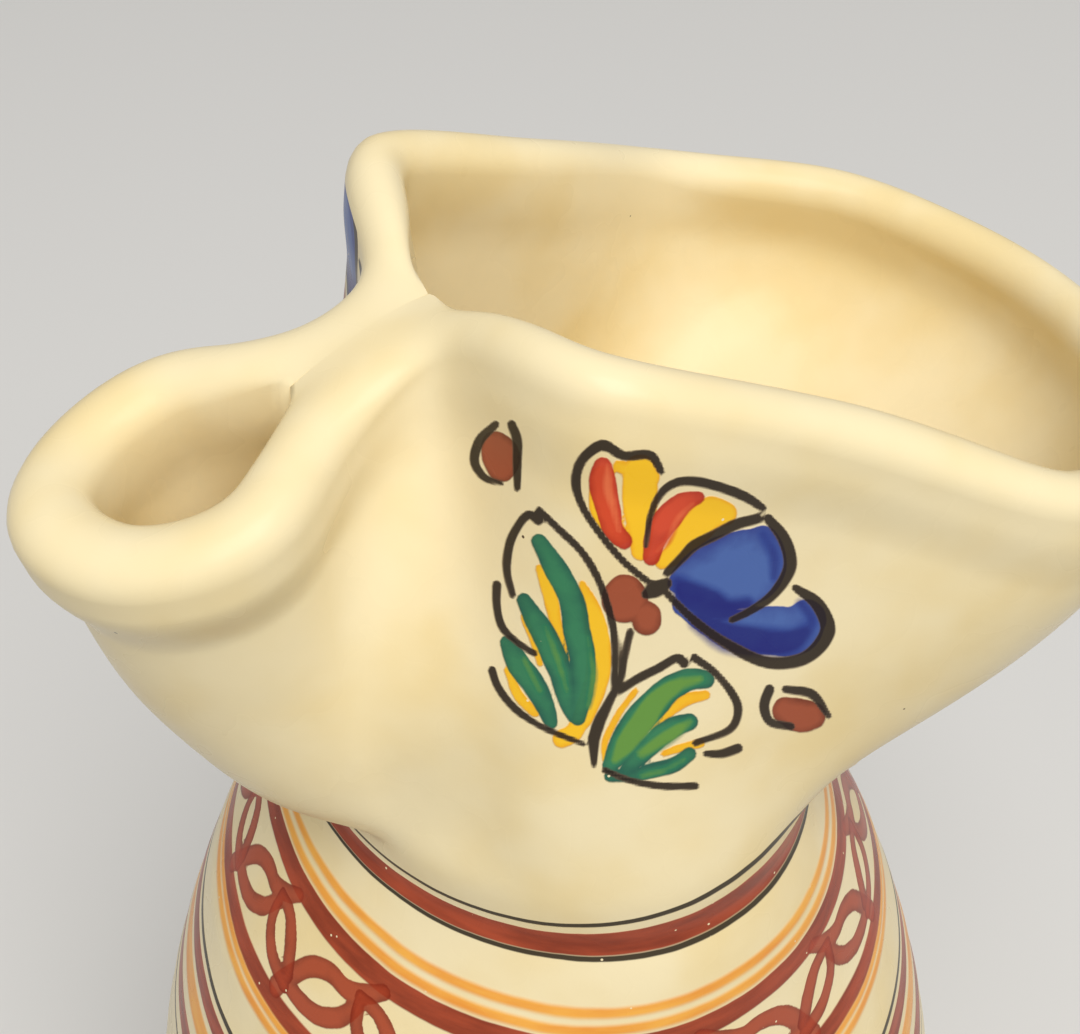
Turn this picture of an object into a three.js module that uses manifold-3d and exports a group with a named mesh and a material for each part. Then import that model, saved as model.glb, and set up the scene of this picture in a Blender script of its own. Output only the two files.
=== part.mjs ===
// Pottery pitcher: a thrown pear-shaped body, a flared collar whose walls are pinched together behind
// the spout, and a strap handle luted on at the back.
// Millimetres, +Z up. The flat base stands on Z = 0 round the Z axis, and the spout points along -X.
import * as THREE from 'three';
import { mergeVertices } from 'three/addons/utils/BufferGeometryUtils.js';
import Module from 'manifold-3d';

// Clay
const WALL = 5;
const FLOOR = 7;
const CLEARANCE = 0.3;

// Body
const BASE_RADIUS = 38;
const BASE_EDGE = 2.5;
const BELLY_RADIUS = 56;
const BELLY_HEIGHT = 57;
const SHOULDER_RADIUS = 41;
const SHOULDER_DROP = 24;

// Neck: the straight band where the collar is luted to the body, squeezed a little narrow along the spout
const NECK_RADIUS = 32;
const NECK_HEIGHT = 155;
const NECK_BAND = 5.5;
const NECK_SQUEEZE = 3.8;
const SQUEEZE_DEPTH = 25;

// Spout: the small front loop of the rim
const SPOUT_REACH = 48.5;
const SPOUT_MIDDLE = 34.5;
const SPOUT_WIDTH = 23;
const SPOUT_TIP_RISE = 41;
const SPOUT_SIDE_RISE = 43.5;
const SPOUT_LIP = 7;
const SPOUT_ROLL = 1;
const SPOUT_SWELL = 0.75;

// Pinch: where the two walls are pressed together
const PINCH_START = 23;
const PINCH_END = 11;
const PINCH_RISE = 50;
const PINCH_DEPTH = 34;
const SEAM = 0.6;

// Mouth: the large loop of the rim behind the pinch
const WING_AT = 7;
const WING_WIDTH = 41;
const WING_RISE = 56.5;
const MOUTH_WIDTH = 73.5;
const MOUTH_WIDEST_AT = 37.5;
const MOUTH_SIDE_RISE = 36.5;
const MOUTH_SWELL = 1;
const BACK_REACH = 66;
const BACK_RISE = 31;
const RIM_LIP = 6.5;
const LIP_DEPTH = 9;

// Handle: a pulled strap from the back of the collar, above the neck, to the shoulder below it
const HANDLE_WIDTH = 19;
const HANDLE_THICKNESS = 8;
const HANDLE_TAPER = 0.82;
const HANDLE_STANDOFF = 16;
const HANDLE_RISE = 19;
const HANDLE_DROP = 28;

// Fineness of the facets
const ROUND_STEPS = 60;
const LOWER_STEPS = 6;
const UPPER_STEPS = 14;
const COLUMNS_PER_STATION = 6;
const WALL_ROWS = 9;
const RIM_ROWS = 5;
const HANDLE_STEPS = 26;
const HANDLE_SIDES = 16;

const wasm = await Module();
wasm.setup();

const mix = THREE.MathUtils.lerp;
const smoothstep = THREE.MathUtils.smoothstep;
const diagonal = Math.SQRT1_2;
const joint = NECK_HEIGHT - NECK_BAND;

// How far the neck is pressed in along the spout, and out across it. The shoulder eases back to round.
function squeezeAt(z) {
  return NECK_SQUEEZE * smoothstep(z, joint - SQUEEZE_DEPTH, joint);
}

// The body's outer outline from the edge of the base up to the joint, moved out by a margin.
function bodyOutline(margin) {
  const lower = new THREE.CubicBezierCurve(
    new THREE.Vector2(BASE_RADIUS, BASE_EDGE),
    new THREE.Vector2(mix(BASE_RADIUS, BELLY_RADIUS, 0.5), BELLY_HEIGHT * 0.2),
    new THREE.Vector2(BELLY_RADIUS, BELLY_HEIGHT * 0.5),
    new THREE.Vector2(BELLY_RADIUS, BELLY_HEIGHT),
  );
  const upper = new THREE.CubicBezierCurve(
    new THREE.Vector2(BELLY_RADIUS, BELLY_HEIGHT),
    new THREE.Vector2(BELLY_RADIUS, mix(BELLY_HEIGHT, joint, 0.45)),
    new THREE.Vector2(SHOULDER_RADIUS, joint - SHOULDER_DROP),
    new THREE.Vector2(NECK_RADIUS, joint),
  );
  const line = [...lower.getPoints(LOWER_STEPS), ...upper.getPoints(UPPER_STEPS).slice(1)];
  return line.map((point, i) => {
    const before = line[Math.max(i - 1, 0)];
    const after = line[Math.min(i + 1, line.length - 1)];
    const along = after.clone().sub(before).normalize();
    return new THREE.Vector2(point.x + along.y * margin, point.y - along.x * margin);
  });
}

function bodyRadius(z) {
  const outline = bodyOutline(0);
  const above = outline.findIndex((point) => point.y >= z);
  const low = outline[above - 1];
  const high = outline[above];
  return mix(low.x, high.x, (z - low.y) / (high.y - low.y));
}

// The thrown body: flat base, hollow inside, open at the neck.
function bodyShell(margin) {
  const top = joint + margin;
  const outside = bodyOutline(margin);
  outside.at(-1).set(NECK_RADIUS + margin, top);
  const inside = bodyOutline(-WALL).filter((point) => point.y > FLOOR + WALL).reverse();
  inside[0].set(NECK_RADIUS - WALL, top);
  const outline = [
    new THREE.Vector2(0, 0),
    new THREE.Vector2(BASE_RADIUS - BASE_EDGE, 0),
    ...outside,
    ...inside,
    new THREE.Vector2(inside.at(-1).x - WALL, FLOOR),
    new THREE.Vector2(0, FLOOR),
  ];
  const geometry = new THREE.LatheGeometry(outline, ROUND_STEPS).rotateX(Math.PI / 2);
  const place = geometry.attributes.position;
  for (let i = 0; i < place.count; i += 1) {
    const point = new THREE.Vector3().fromBufferAttribute(place, i);
    const radius = Math.max(Math.hypot(point.x, point.y), WALL);
    const shift = squeezeAt(point.z) / radius;
    place.setXY(i, point.x * (1 - shift), point.y * (1 + shift));
  }
  return geometry;
}

// The crown of the rim, from the tip of the spout round to the back on one side.
// reach: forward of the axis. half: out from the middle plane. rise: above the neck.
// turn: where the wall below starts on the neck, in degrees from the front.
// swell: how much the wall bellies out on its way up. pressed: how far the pinch moved it in.
// lip, roll: thickness of the rim, and how far it is rolled out.
function rimStations() {
  const spoutHalf = SPOUT_WIDTH / 2;
  const wingHalf = WING_WIDTH / 2;
  const mouthHalf = MOUTH_WIDTH / 2;
  const pinchHalf = (RIM_LIP + SEAM) / 2;
  const flank = 0.34;
  const spout = { rise: SPOUT_TIP_RISE, swell: SPOUT_SWELL, pressed: 0, lip: SPOUT_LIP, roll: SPOUT_ROLL };
  const pinch = { half: pinchHalf, swell: 0.1, lip: RIM_LIP, roll: 0 };
  const mouth = { swell: MOUTH_SWELL, pressed: 0, lip: RIM_LIP, roll: 0 };
  return [
    { ...spout, reach: SPOUT_REACH, half: 0, turn: 0 },
    { ...spout, reach: mix(SPOUT_MIDDLE, SPOUT_REACH, diagonal), half: spoutHalf * diagonal, turn: 10 },
    { ...spout, reach: SPOUT_MIDDLE, half: spoutHalf, rise: SPOUT_SIDE_RISE, turn: 20 },
    {
      ...pinch,
      reach: PINCH_START,
      rise: mix(SPOUT_SIDE_RISE, PINCH_RISE, 0.5),
      turn: 30,
      pressed: spoutHalf - pinchHalf,
    },
    { ...pinch, reach: PINCH_END, rise: PINCH_RISE, turn: 41, pressed: wingHalf - pinchHalf },
    { ...mouth, reach: WING_AT, half: wingHalf, rise: WING_RISE, turn: 62, swell: 0 },
    {
      ...mouth,
      reach: mix(WING_AT, -MOUTH_WIDEST_AT, flank),
      half: mix(wingHalf, mouthHalf, flank),
      rise: mix(WING_RISE, MOUTH_SIDE_RISE, flank),
      turn: 95,
      swell: MOUTH_SWELL / 2,
    },
    { ...mouth, reach: -MOUTH_WIDEST_AT, half: mouthHalf, rise: MOUTH_SIDE_RISE, turn: 132 },
    {
      ...mouth,
      reach: mix(-MOUTH_WIDEST_AT, -BACK_REACH, diagonal),
      half: mouthHalf * diagonal,
      rise: BACK_RISE,
      turn: 157,
    },
    { ...mouth, reach: -BACK_REACH, half: 0, rise: BACK_RISE, turn: 180 },
  ];
}

// The whole rim: one side, then its mirror image.
function rimAround() {
  const near = rimStations().map((station) => ({ ...station, side: -1 }));
  const far = near.slice(1, -1).reverse().map((station) => ({ ...station, side: 1 }));
  return [...near, ...far];
}

const stations = rimAround();
const backTurn = 0.5;

function closedCurve(pointOf) {
  return new THREE.CatmullRomCurve3(stations.map(pointOf), true);
}

const crownCurve = closedCurve((s) => new THREE.Vector3(-s.reach, s.side * s.half, s.rise));
const neckCurve = closedCurve((s) => {
  const angle = THREE.MathUtils.degToRad(s.turn);
  return new THREE.Vector3(-Math.cos(angle), s.side * Math.sin(angle), 0);
});
const formCurve = closedCurve((s) => new THREE.Vector3(s.swell, s.side * s.pressed, 0));
const lipCurve = closedCurve((s) => new THREE.Vector3(s.lip, s.roll, 0));

// A point in the middle of the collar's wall. u runs round the rim; v runs from the neck, 0, to the rim, 1,
// and below zero down the straight band.
function wallMiddle(u, v) {
  const round = neckCurve.getPoint(u).normalize();
  const neckX = round.x * (NECK_RADIUS - NECK_SQUEEZE - WALL / 2);
  const neckY = round.y * (NECK_RADIUS + NECK_SQUEEZE - WALL / 2);
  if (v <= 0) {
    return new THREE.Vector3(neckX, neckY, NECK_HEIGHT + v * NECK_BAND);
  }
  const crown = crownCurve.getPoint(u);
  const { x: swell, y: pressed } = formCurve.getPoint(u);
  const out = v + swell * v * (1 - v);
  const pinched = smoothstep(v * crown.z, crown.z - PINCH_DEPTH, crown.z);
  return new THREE.Vector3(
    mix(neckX, crown.x, out),
    mix(neckY, crown.y + pressed, out) - pressed * pinched,
    NECK_HEIGHT + crown.z * v,
  );
}

// Directions up the wall and out of it at a point.
function wallFrame(u, v) {
  const stepU = 0.003;
  const stepV = 0.02;
  const round = wallMiddle((u + stepU) % 1, v).sub(wallMiddle((u + 1 - stepU) % 1, v));
  const up = wallMiddle(u, Math.min(v + stepV, 1)).sub(wallMiddle(u, v - stepV)).normalize();
  const out = round.cross(up).normalize();
  return { up, out };
}

// One column of the collar: up its outside, over the rim and down its inside, moved out by a margin.
function collarColumn(u, margin) {
  const { x: lip, y: roll } = lipCurve.getPoint(u);
  const crown = crownCurve.getPoint(u);
  const lipShare = (v) => smoothstep(v * crown.z, crown.z - LIP_DEPTH, crown.z - LIP_DEPTH / 4);
  const bottom = (CLEARANCE - margin) / NECK_BAND - 1;
  const heights = [bottom];
  for (let row = 0; row <= WALL_ROWS; row += 1) {
    heights.push(row / WALL_ROWS);
  }
  const place = (v, angle) => {
    const { up, out } = wallFrame(u, v);
    const share = lipShare(v);
    const half = mix(WALL, lip, share) / 2;
    const outer = half + roll * share + margin;
    const across = angle < Math.PI / 2 ? outer : half;
    const point = wallMiddle(u, v);
    point.addScaledVector(out, across * Math.cos(angle));
    return point.addScaledVector(up, (half + margin) * Math.sin(angle));
  };
  const outside = heights.map((v) => place(v, 0));
  const inside = heights.map((v) => place(v, Math.PI)).reverse();
  const over = [];
  for (let row = 1; row < RIM_ROWS; row += 1) {
    over.push(place(1, (Math.PI * row) / RIM_ROWS));
  }
  const column = [...outside, ...over, ...inside];
  [column[0], column.at(-1)].forEach((point) => {
    point.z = joint + CLEARANCE - margin;
  });
  // Where the walls are pressed together, each stays on its own side of the seam.
  const side = Math.sign(crown.y);
  column.forEach((point) => {
    point.y = side === 0 ? 0 : side * Math.max(side * point.y, SEAM / 2);
  });
  return column;
}

// Triangles between closed loops of points, from each loop to the next.
function skin(loops, closed) {
  const size = loops[0].length;
  const pairs = closed ? loops.length : loops.length - 1;
  const index = [];
  for (let i = 0; i < pairs; i += 1) {
    const next = (i + 1) % loops.length;
    for (let k = 0; k < size; k += 1) {
      const after = (k + 1) % size;
      const a = i * size + k;
      const b = next * size + k;
      const c = next * size + after;
      const d = i * size + after;
      index.push(a, b, c, a, c, d);
    }
  }
  return index;
}

function indexed(points, index) {
  const geometry = new THREE.BufferGeometry();
  geometry.setAttribute('position', new THREE.Float32BufferAttribute(points.flatMap((p) => p.toArray()), 3));
  geometry.setIndex(index);
  return geometry;
}

function collarShell(margin) {
  const count = stations.length * COLUMNS_PER_STATION;
  const columns = [];
  for (let i = 0; i < count; i += 1) {
    columns.push(collarColumn(i / count, margin));
  }
  return indexed(columns.flat(), skin(columns, true));
}

// The strap before it is fitted: an oval section that narrows downwards, along a bow from inside the
// collar's wall to inside the shoulder's wall.
function handleStrap() {
  const start = wallMiddle(backTurn, HANDLE_RISE / BACK_RISE);
  const foot = NECK_HEIGHT - HANDLE_DROP;
  const end = new THREE.Vector3(bodyRadius(foot) - WALL / 2, 0, foot);
  const bow = (share, height) =>
    new THREE.Vector3(mix(end.x, start.x + HANDLE_STANDOFF, share), 0, mix(end.z, start.z, height));
  const path = new THREE.CatmullRomCurve3([
    start,
    bow(0.9, 0.96),
    bow(1, 0.68),
    bow(0.9, 0.36),
    bow(0.5, 0.13),
    end,
  ]);
  const sideways = new THREE.Vector3(0, 1, 0);
  const rings = [];
  for (let i = 0; i <= HANDLE_STEPS; i += 1) {
    const share = i / HANDLE_STEPS;
    const size = mix(1, HANDLE_TAPER, share);
    const centre = path.getPointAt(share);
    const outward = sideways.clone().cross(path.getTangentAt(share));
    const ring = [];
    for (let k = 0; k < HANDLE_SIDES; k += 1) {
      const angle = (2 * Math.PI * k) / HANDLE_SIDES;
      const point = centre.clone().addScaledVector(sideways, (Math.cos(angle) * HANDLE_WIDTH * size) / 2);
      ring.push(point.addScaledVector(outward, (Math.sin(angle) * HANDLE_THICKNESS * size) / 2));
    }
    rings.push(ring);
  }
  const index = skin(rings, false);
  const last = HANDLE_STEPS * HANDLE_SIDES;
  for (let k = 1; k < HANDLE_SIDES - 1; k += 1) {
    index.push(0, k, k + 1, last, last + k + 1, last + k);
  }
  return indexed(rings.flat(), index);
}

function welded(geometry) {
  const bare = geometry.clone();
  bare.deleteAttribute('normal');
  bare.deleteAttribute('uv');
  return mergeVertices(bare, 1e-4);
}

function toSolid(geometry) {
  const closed = welded(geometry);
  return new wasm.Manifold(new wasm.Mesh({
    numProp: 3,
    vertProperties: new Float32Array(closed.attributes.position.array),
    triVerts: new Uint32Array(closed.index.array),
  }));
}

function fromSolid(solid) {
  const { vertProperties, triVerts } = solid.getMesh();
  const geometry = new THREE.BufferGeometry();
  geometry.setAttribute('position', new THREE.BufferAttribute(vertProperties, 3));
  geometry.setIndex(new THREE.BufferAttribute(triVerts, 1));
  return geometry;
}

// The strap trimmed to the walls that carry it. The stubs that reach inside the pot are dropped.
function handleFitted() {
  const trimmed = toSolid(handleStrap())
    .subtract(toSolid(collarShell(CLEARANCE)))
    .subtract(toSolid(bodyShell(CLEARANCE)));
  const pieces = trimmed.decompose().sort((a, b) => b.volume() - a.volume());
  return fromSolid(pieces[0]);
}

function glaze(color, roughness) {
  return new THREE.MeshStandardMaterial({ color, roughness, metalness: 0 });
}

function piece(name, geometry, material) {
  const shape = welded(geometry);
  shape.computeVertexNormals();
  const mesh = new THREE.Mesh(shape, material);
  mesh.name = name;
  return mesh;
}

const pitcher = new THREE.Group();
pitcher.add(
  piece('body', bodyShell(0), glaze(0xefe2c0, 0.22)),
  piece('collar', collarShell(0), glaze(0xf3e8cb, 0.2)),
  piece('handle', handleFitted(), glaze(0xf1e5c6, 0.22)),
);

export default pitcher;
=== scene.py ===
"""Pottery pitcher with a pinched spout: a thrown body, a flared collar and a strap handle, painted by
brush in bands, scrolls and a flower sprig over a cream tin glaze.

Shapes are worked out in millimetres and turned to metres when a mesh is made. +Z is up, the flat base
stands on Z = 0 and the spout points along -X.
"""

import math
from types import SimpleNamespace

import bpy
import numpy as np
from mathutils import Matrix, Vector


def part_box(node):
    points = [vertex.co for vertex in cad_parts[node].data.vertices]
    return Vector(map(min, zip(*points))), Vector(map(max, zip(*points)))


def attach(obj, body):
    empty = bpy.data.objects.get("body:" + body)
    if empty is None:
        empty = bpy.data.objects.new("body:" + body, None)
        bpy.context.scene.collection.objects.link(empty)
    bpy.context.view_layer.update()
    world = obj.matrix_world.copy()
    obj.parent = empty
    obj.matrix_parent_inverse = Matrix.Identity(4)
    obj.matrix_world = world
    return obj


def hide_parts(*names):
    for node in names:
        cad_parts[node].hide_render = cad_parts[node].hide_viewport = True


bl_info = {
    "name": "Pottery Pitcher",
    "version": (1, 0, 0),
    "blender": (4, 5, 0),
    "location": "View3D > Sidebar > Pitcher",
    "description": "Builds a hand-painted earthenware pitcher with a pinched spout and its studio stage",
    "category": "Add Mesh",
}

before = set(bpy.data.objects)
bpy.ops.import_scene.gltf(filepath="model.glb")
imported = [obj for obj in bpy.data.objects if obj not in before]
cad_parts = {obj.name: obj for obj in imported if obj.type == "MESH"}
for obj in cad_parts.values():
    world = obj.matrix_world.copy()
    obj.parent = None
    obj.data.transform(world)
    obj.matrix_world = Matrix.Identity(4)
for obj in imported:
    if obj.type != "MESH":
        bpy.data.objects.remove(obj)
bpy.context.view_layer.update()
BODY_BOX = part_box("body")

MM = 0.001
DIAGONAL = math.sqrt(0.5)

# Half gap in millimetres between the walls inside the pinch, and the depth marked where no stroke comes.
SEAM_GAP = 0.05
NOT_PAINTED = -10.0

# The eye that looks down at the side of the collar: its place in millimetres, its turn and its tilt.
EYE_PLACE = (-61.0, -114.7, 286.8)
EYE_HEADING = math.radians(27.9)
EYE_TILT = math.radians(39.9)

# Fineness of the meshes: columns between neighbouring rim stations from the spout to the back, finest
# where the sprig is painted, rows up the outside, over the rim and down the inside, columns of the body, and
# rings of the handle, steps along its curve and points in each ring.
NEAR_COLUMNS = (10, 12, 20, 26, 60, 78, 60, 20, 20)
FAR_COLUMNS = (10, 12, 20, 26, 50, 56, 34, 20, 20)
BAND_ROWS = 8
WALL_ROWS = 128
RIM_ROWS = 12
INSIDE_ROWS = 30
INNER_BAND_ROWS = 4
BODY_COLUMNS = 480
HANDLE_RINGS = 120
HANDLE_STEPS = 600
HANDLE_SIDES = 48

# Rows of the body from the base to the belt of scrolls, over the belt and on to the joint, rows down its
# inside and round its corners, the radius in millimetres of its innermost loops, and the steps along the two
# curves of its outline.
BODY_ROWS = 76
BELT_ROWS = 40
SHOULDER_ROWS = 12
HOLLOW_ROWS = 44
CORNER_ROWS = 6
HUB_RADIUS = 6.0
BELLY_STEPS = 200
SHOULDER_STEPS = 400

# The belt of scrolls on the shoulder, in millimetres below the joint.
BELT_TOP = 8
BELT_FOOT = 25

# Steps along the crown of the rim, how far in millimetres its stations are smoothed, how many times
# neighbouring columns are drawn together in the valley beside the pinch each time that the seam is rounded,
# how many times that is, and how many times the hollow above the neck is rounded.
CROWN_STEPS = 4000
CROWN_SOFTNESS = 2.0
VALLEY_PASSES = 25
SEAM_ROUNDS = 28
NECK_ROUNDS = 20

# Waves that finger pressure left in the collar's wall: millimetres, waves round it and turn up it.
FINGER_WAVES = ((0.3, 3, 5), (0.18, 7, -9), (0.1, 13, 4))

# Shares of the wall's height between which the fingers reached it more and more.
HAND_REACH = (0.05, 0.6)


# Properties


def length(name, description, millimetres):
    """A length that a user would change."""
    return bpy.props.FloatProperty(
        name=name,
        description=description,
        default=millimetres * MM,
        min=0.0,
        subtype="DISTANCE",
        unit="LENGTH",
        precision=4,
    )


def linear(hex_colour):
    """An sRGB hex colour as linear red, green and blue."""
    channels = [int(hex_colour[i : i + 2], 16) / 255 for i in (1, 3, 5)]
    return [c / 12.92 if c <= 0.04045 else ((c + 0.055) / 1.055) ** 2.4 for c in channels]


def colour(name, description, hex_colour):
    """A colour that a user would change."""
    return bpy.props.FloatVectorProperty(
        name=name,
        description=description,
        default=linear(hex_colour),
        size=3,
        min=0.0,
        max=1.0,
        subtype="COLOR",
    )


class PitcherForm(bpy.types.PropertyGroup):
    """Lengths of the pot."""

    wall: length("Wall", "Thickness of the thrown wall", 5)
    floor: length("Floor", "Thickness of the bottom", 7)
    base_radius: length("Base radius", "Radius of the flat base", 38)
    base_edge: length("Base edge", "Rounding of the edge of the base", 2.5)
    belly_radius: length("Belly radius", "Radius of the belly at its widest", BODY_BOX[1].x / MM)
    belly_height: length("Belly height", "Height of the widest part above the base", 57)
    shoulder_radius: length("Shoulder radius", "How full the shoulder is below the neck", 41)
    shoulder_drop: length("Shoulder drop", "How far below the neck the shoulder turns", 24)
    neck_radius: length("Neck radius", "Mean radius of the neck", 32)
    joint_height: length("Joint height", "Height at which the collar stands on the body", BODY_BOX[1].z / MM)
    neck_band: length("Neck band", "Height of the straight band at the neck", 5.5)
    neck_squeeze: length("Neck squeeze", "How far the neck is pressed in along the spout", 3.8)
    squeeze_depth: length("Squeeze depth", "How far down the shoulder the squeeze fades", 25)
    spout_reach: length("Spout reach", "Reach of the spout's tip from the axis", 48.5)
    spout_middle: length("Spout middle", "Reach of the widest part of the spout", 34.5)
    spout_width: length("Spout width", "Width of the spout's loop", 23)
    spout_tip_rise: length("Spout tip rise", "Height of the spout's tip above the neck", 41)
    spout_side_rise: length("Spout side rise", "Height of the spout's sides above the neck", 43.5)
    spout_lip: length("Spout lip", "Thickness of the spout's rim", 7)
    spout_roll: length("Spout roll", "How far the spout's rim is rolled out", 1)
    pinch_start: length("Pinch start", "Reach at which the pinched walls meet", 23)
    pinch_end: length("Pinch end", "Reach at which the pinched walls part", 11)
    pinch_rise: length("Pinch rise", "Height of the pinch above the neck", 52)
    pinch_depth: length("Pinch depth", "How far down the wall the pinch fades", 34)
    ridge_rise: length("Ridge rise", "How far the fused rims stand above the pinched walls", 3.5)
    spout_parting: length("Spout parting", "Half gap at which the fused rims part towards the spout", 1.8)
    mouth_parting: length("Mouth parting", "Half gap at which the fused rims part towards the mouth", 6)
    wing_at: length("Wing reach", "Reach of the high corner of the mouth", 8)
    wing_width: length("Wing width", "Width between the high corners", 41)
    wing_rise: length("Wing rise", "Height of the high corners above the neck", 55.8)
    mouth_width: length("Mouth width", "Width of the mouth at its widest", 73.5)
    mouth_widest_at: length("Mouth widest at", "Distance of the widest part behind the axis", 37.5)
    mouth_side_rise: length("Mouth side rise", "Height of the rim at the widest part", 36.8)
    back_reach: length("Back reach", "Distance of the back of the rim from the axis", 66)
    back_rise: length("Back rise", "Height of the back of the rim above the neck", 31)
    rim_lip: length("Rim lip", "Thickness of the rim", 6.5)
    lip_depth: length("Lip depth", "How far down the wall the rim thickens", 9)
    handle_width: length("Handle width", "Width of the strap", 19)
    handle_thickness: length("Handle thickness", "Thickness of the strap", 8)
    handle_standoff: length("Handle standoff", "How far the strap bows out behind its top", 16)
    handle_rise: length("Handle rise", "Height of the strap's top above the neck", 19)
    handle_drop: length("Handle drop", "Depth of the strap's foot below the neck", 28)


class PitcherPaint(bpy.types.PropertyGroup):
    """Colours of the glaze and of the painted decoration."""

    glaze: colour("Glaze", "Cream of the tin glaze", "#F7E6BA")
    glaze_thick: colour("Thick glaze", "Warmer cream where the glaze lies thick", "#F1DAA2")
    clay: colour("Clay", "Bare earthenware under the base", "#C4865A")
    brown: colour("Brown", "Iron brown of the bands and scrolls", "#AC4123")
    brown_deep: colour("Deep brown", "Iron brown where strokes pool or overlap", "#862911")
    ochre: colour("Ochre", "Ochre of the thin bands", "#FBB13E")
    ochre_deep: colour("Deep ochre", "Ochre where the brush left more", "#F0962A")
    line: colour("Line", "Brown black of the ruled lines", "#2A1F12")
    ink: colour("Ink", "Brown black of the drawn outlines", "#281D17")
    ink_thin: colour("Thin ink", "The same where the brush ran dry", "#5B4A3B")
    yellow: colour("Yellow", "Yellow of the petals and leaves", "#FFC71E")
    yellow_deep: colour("Deep yellow", "Yellow where it pools", "#F6AE12")
    green: colour("Green", "Copper green of the leaves", "#2F7F58")
    green_deep: colour("Deep green", "Blue green at the edges of the leaves", "#125C4C")
    green_light: colour("Light green", "Olive green of the second brush in the leaves", "#6F9C40")
    blue: colour("Blue", "Light cobalt blue inside the petals", "#4666AA")
    blue_deep: colour("Deep blue", "Cobalt blue at the edges of the petals", "#2C418F")
    blue_dark: colour("Dark blue", "Dark cobalt of the second brush in the petals", "#1E1F72")
    red: colour("Red", "Red of the petal strokes", "#D94A2E")
    red_deep: colour("Deep red", "Red where the brush left more", "#B52F1E")
    red_light: colour("Light red", "Orange streaks that the bristles left in the red", "#F07C4E")
    bud: colour("Bud", "Brown of the buds", "#A24A2E")
    bud_deep: colour("Deep bud", "Brown at the edges of the buds", "#7A2E18")
    speck: colour("Speck", "Dark specks of iron in the glaze", "#5A4630")


class PitcherStage(bpy.types.PropertyGroup):
    """Floor, lights and camera."""

    floor: colour("Floor", "Pale floor and backdrop", "#DEDCD8")
    floor_bounce: colour("Floor bounce", "The floor as it lights the pot from below", "#989692")
    key_power: bpy.props.FloatProperty(
        name="Key light",
        description="Power of the large soft light above",
        default=43.0,
        min=0.0,
        unit="POWER",
    )
    fill_power: bpy.props.FloatProperty(
        name="Fill light",
        description="Power of the soft light on the left",
        default=0.8,
        min=0.0,
        unit="POWER",
    )
    ambient: bpy.props.FloatProperty(
        name="Ambient", description="Strength of the even light from all round", default=0.4, min=0.0
    )
    camera_place: bpy.props.FloatVectorProperty(
        name="Camera place",
        description="Where the camera stands",
        default=[millimetres * MM for millimetres in EYE_PLACE],
        subtype="TRANSLATION",
        unit="LENGTH",
    )
    camera_heading: bpy.props.FloatProperty(
        name="Heading",
        description="Turn of the camera to the right of straight along +Y",
        default=EYE_HEADING,
        subtype="ANGLE",
    )
    camera_tilt: bpy.props.FloatProperty(
        name="Tilt", description="How far the camera looks down", default=EYE_TILT, subtype="ANGLE"
    )
    camera_roll: bpy.props.FloatProperty(
        name="Roll", description="Roll of the camera", default=math.radians(-0.4), subtype="ANGLE"
    )
    camera_lens: bpy.props.FloatProperty(
        name="Focal length", description="Focal length of the lens", default=53.33, unit="CAMERA"
    )


# Curves and meshes


def in_millimetres(form):
    """The form's lengths in millimetres."""
    return SimpleNamespace(**{name: getattr(form, name) / MM for name in PitcherForm.__annotations__})


def mix(a, b, share):
    return a + (b - a) * share


def smoothstep(value, low, high):
    share = np.clip((value - low) / (high - low), 0, 1)
    return share * share * (3 - 2 * share)


def curve_through(stations, shares, closed=False):
    """Points of a smooth curve through the stations, at shares from 0 to 1 of its stations' count."""
    stations = np.asarray(stations, float)
    shares = np.asarray(shares, float)
    if closed:
        stations = np.vstack([stations[-1:], stations, stations[:2]])
    else:
        before = 2 * stations[:1] - stations[1:2]
        after = 2 * stations[-1:] - stations[-2:-1]
        stations = np.vstack([before, stations, after])
    spans = len(stations) - 3
    place = shares % 1 * spans if closed else shares * spans
    first = np.clip(np.floor(place).astype(int), 0, spans - 1)
    share = (place - first)[:, None]
    p0, p1, p2, p3 = (stations[first + step] for step in range(4))
    # The curve takes the square root of each distance as its step, so it makes no loops between stations.
    step0, step1, step2 = (
        np.sum((after - before) ** 2, axis=1, keepdims=True) ** 0.25
        for before, after in ((p0, p1), (p1, p2), (p2, p3))
    )
    shortest = 1e-4
    step1 = np.where(step1 < shortest, 1, step1)
    step0 = np.where(step0 < shortest, step1, step0)
    step2 = np.where(step2 < shortest, step1, step2)
    leave = ((p1 - p0) / step0 - (p2 - p0) / (step0 + step1) + (p2 - p1) / step1) * step1
    reach = ((p2 - p1) / step1 - (p3 - p1) / (step1 + step2) + (p3 - p2) / step2) * step1
    bend = -3 * p1 + 3 * p2 - 2 * leave - reach
    twist = 2 * p1 - 2 * p2 + leave + reach
    return ((twist * share + bend) * share + leave) * share + p1


def bezier(points, count):
    """Points along a cubic curve."""
    a, b, c, d = np.asarray(points, float)
    t = np.linspace(0, 1, count)[:, None]
    return a * (1 - t) ** 3 + 3 * b * t * (1 - t) ** 2 + 3 * c * t**2 * (1 - t) + d * t**3


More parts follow.
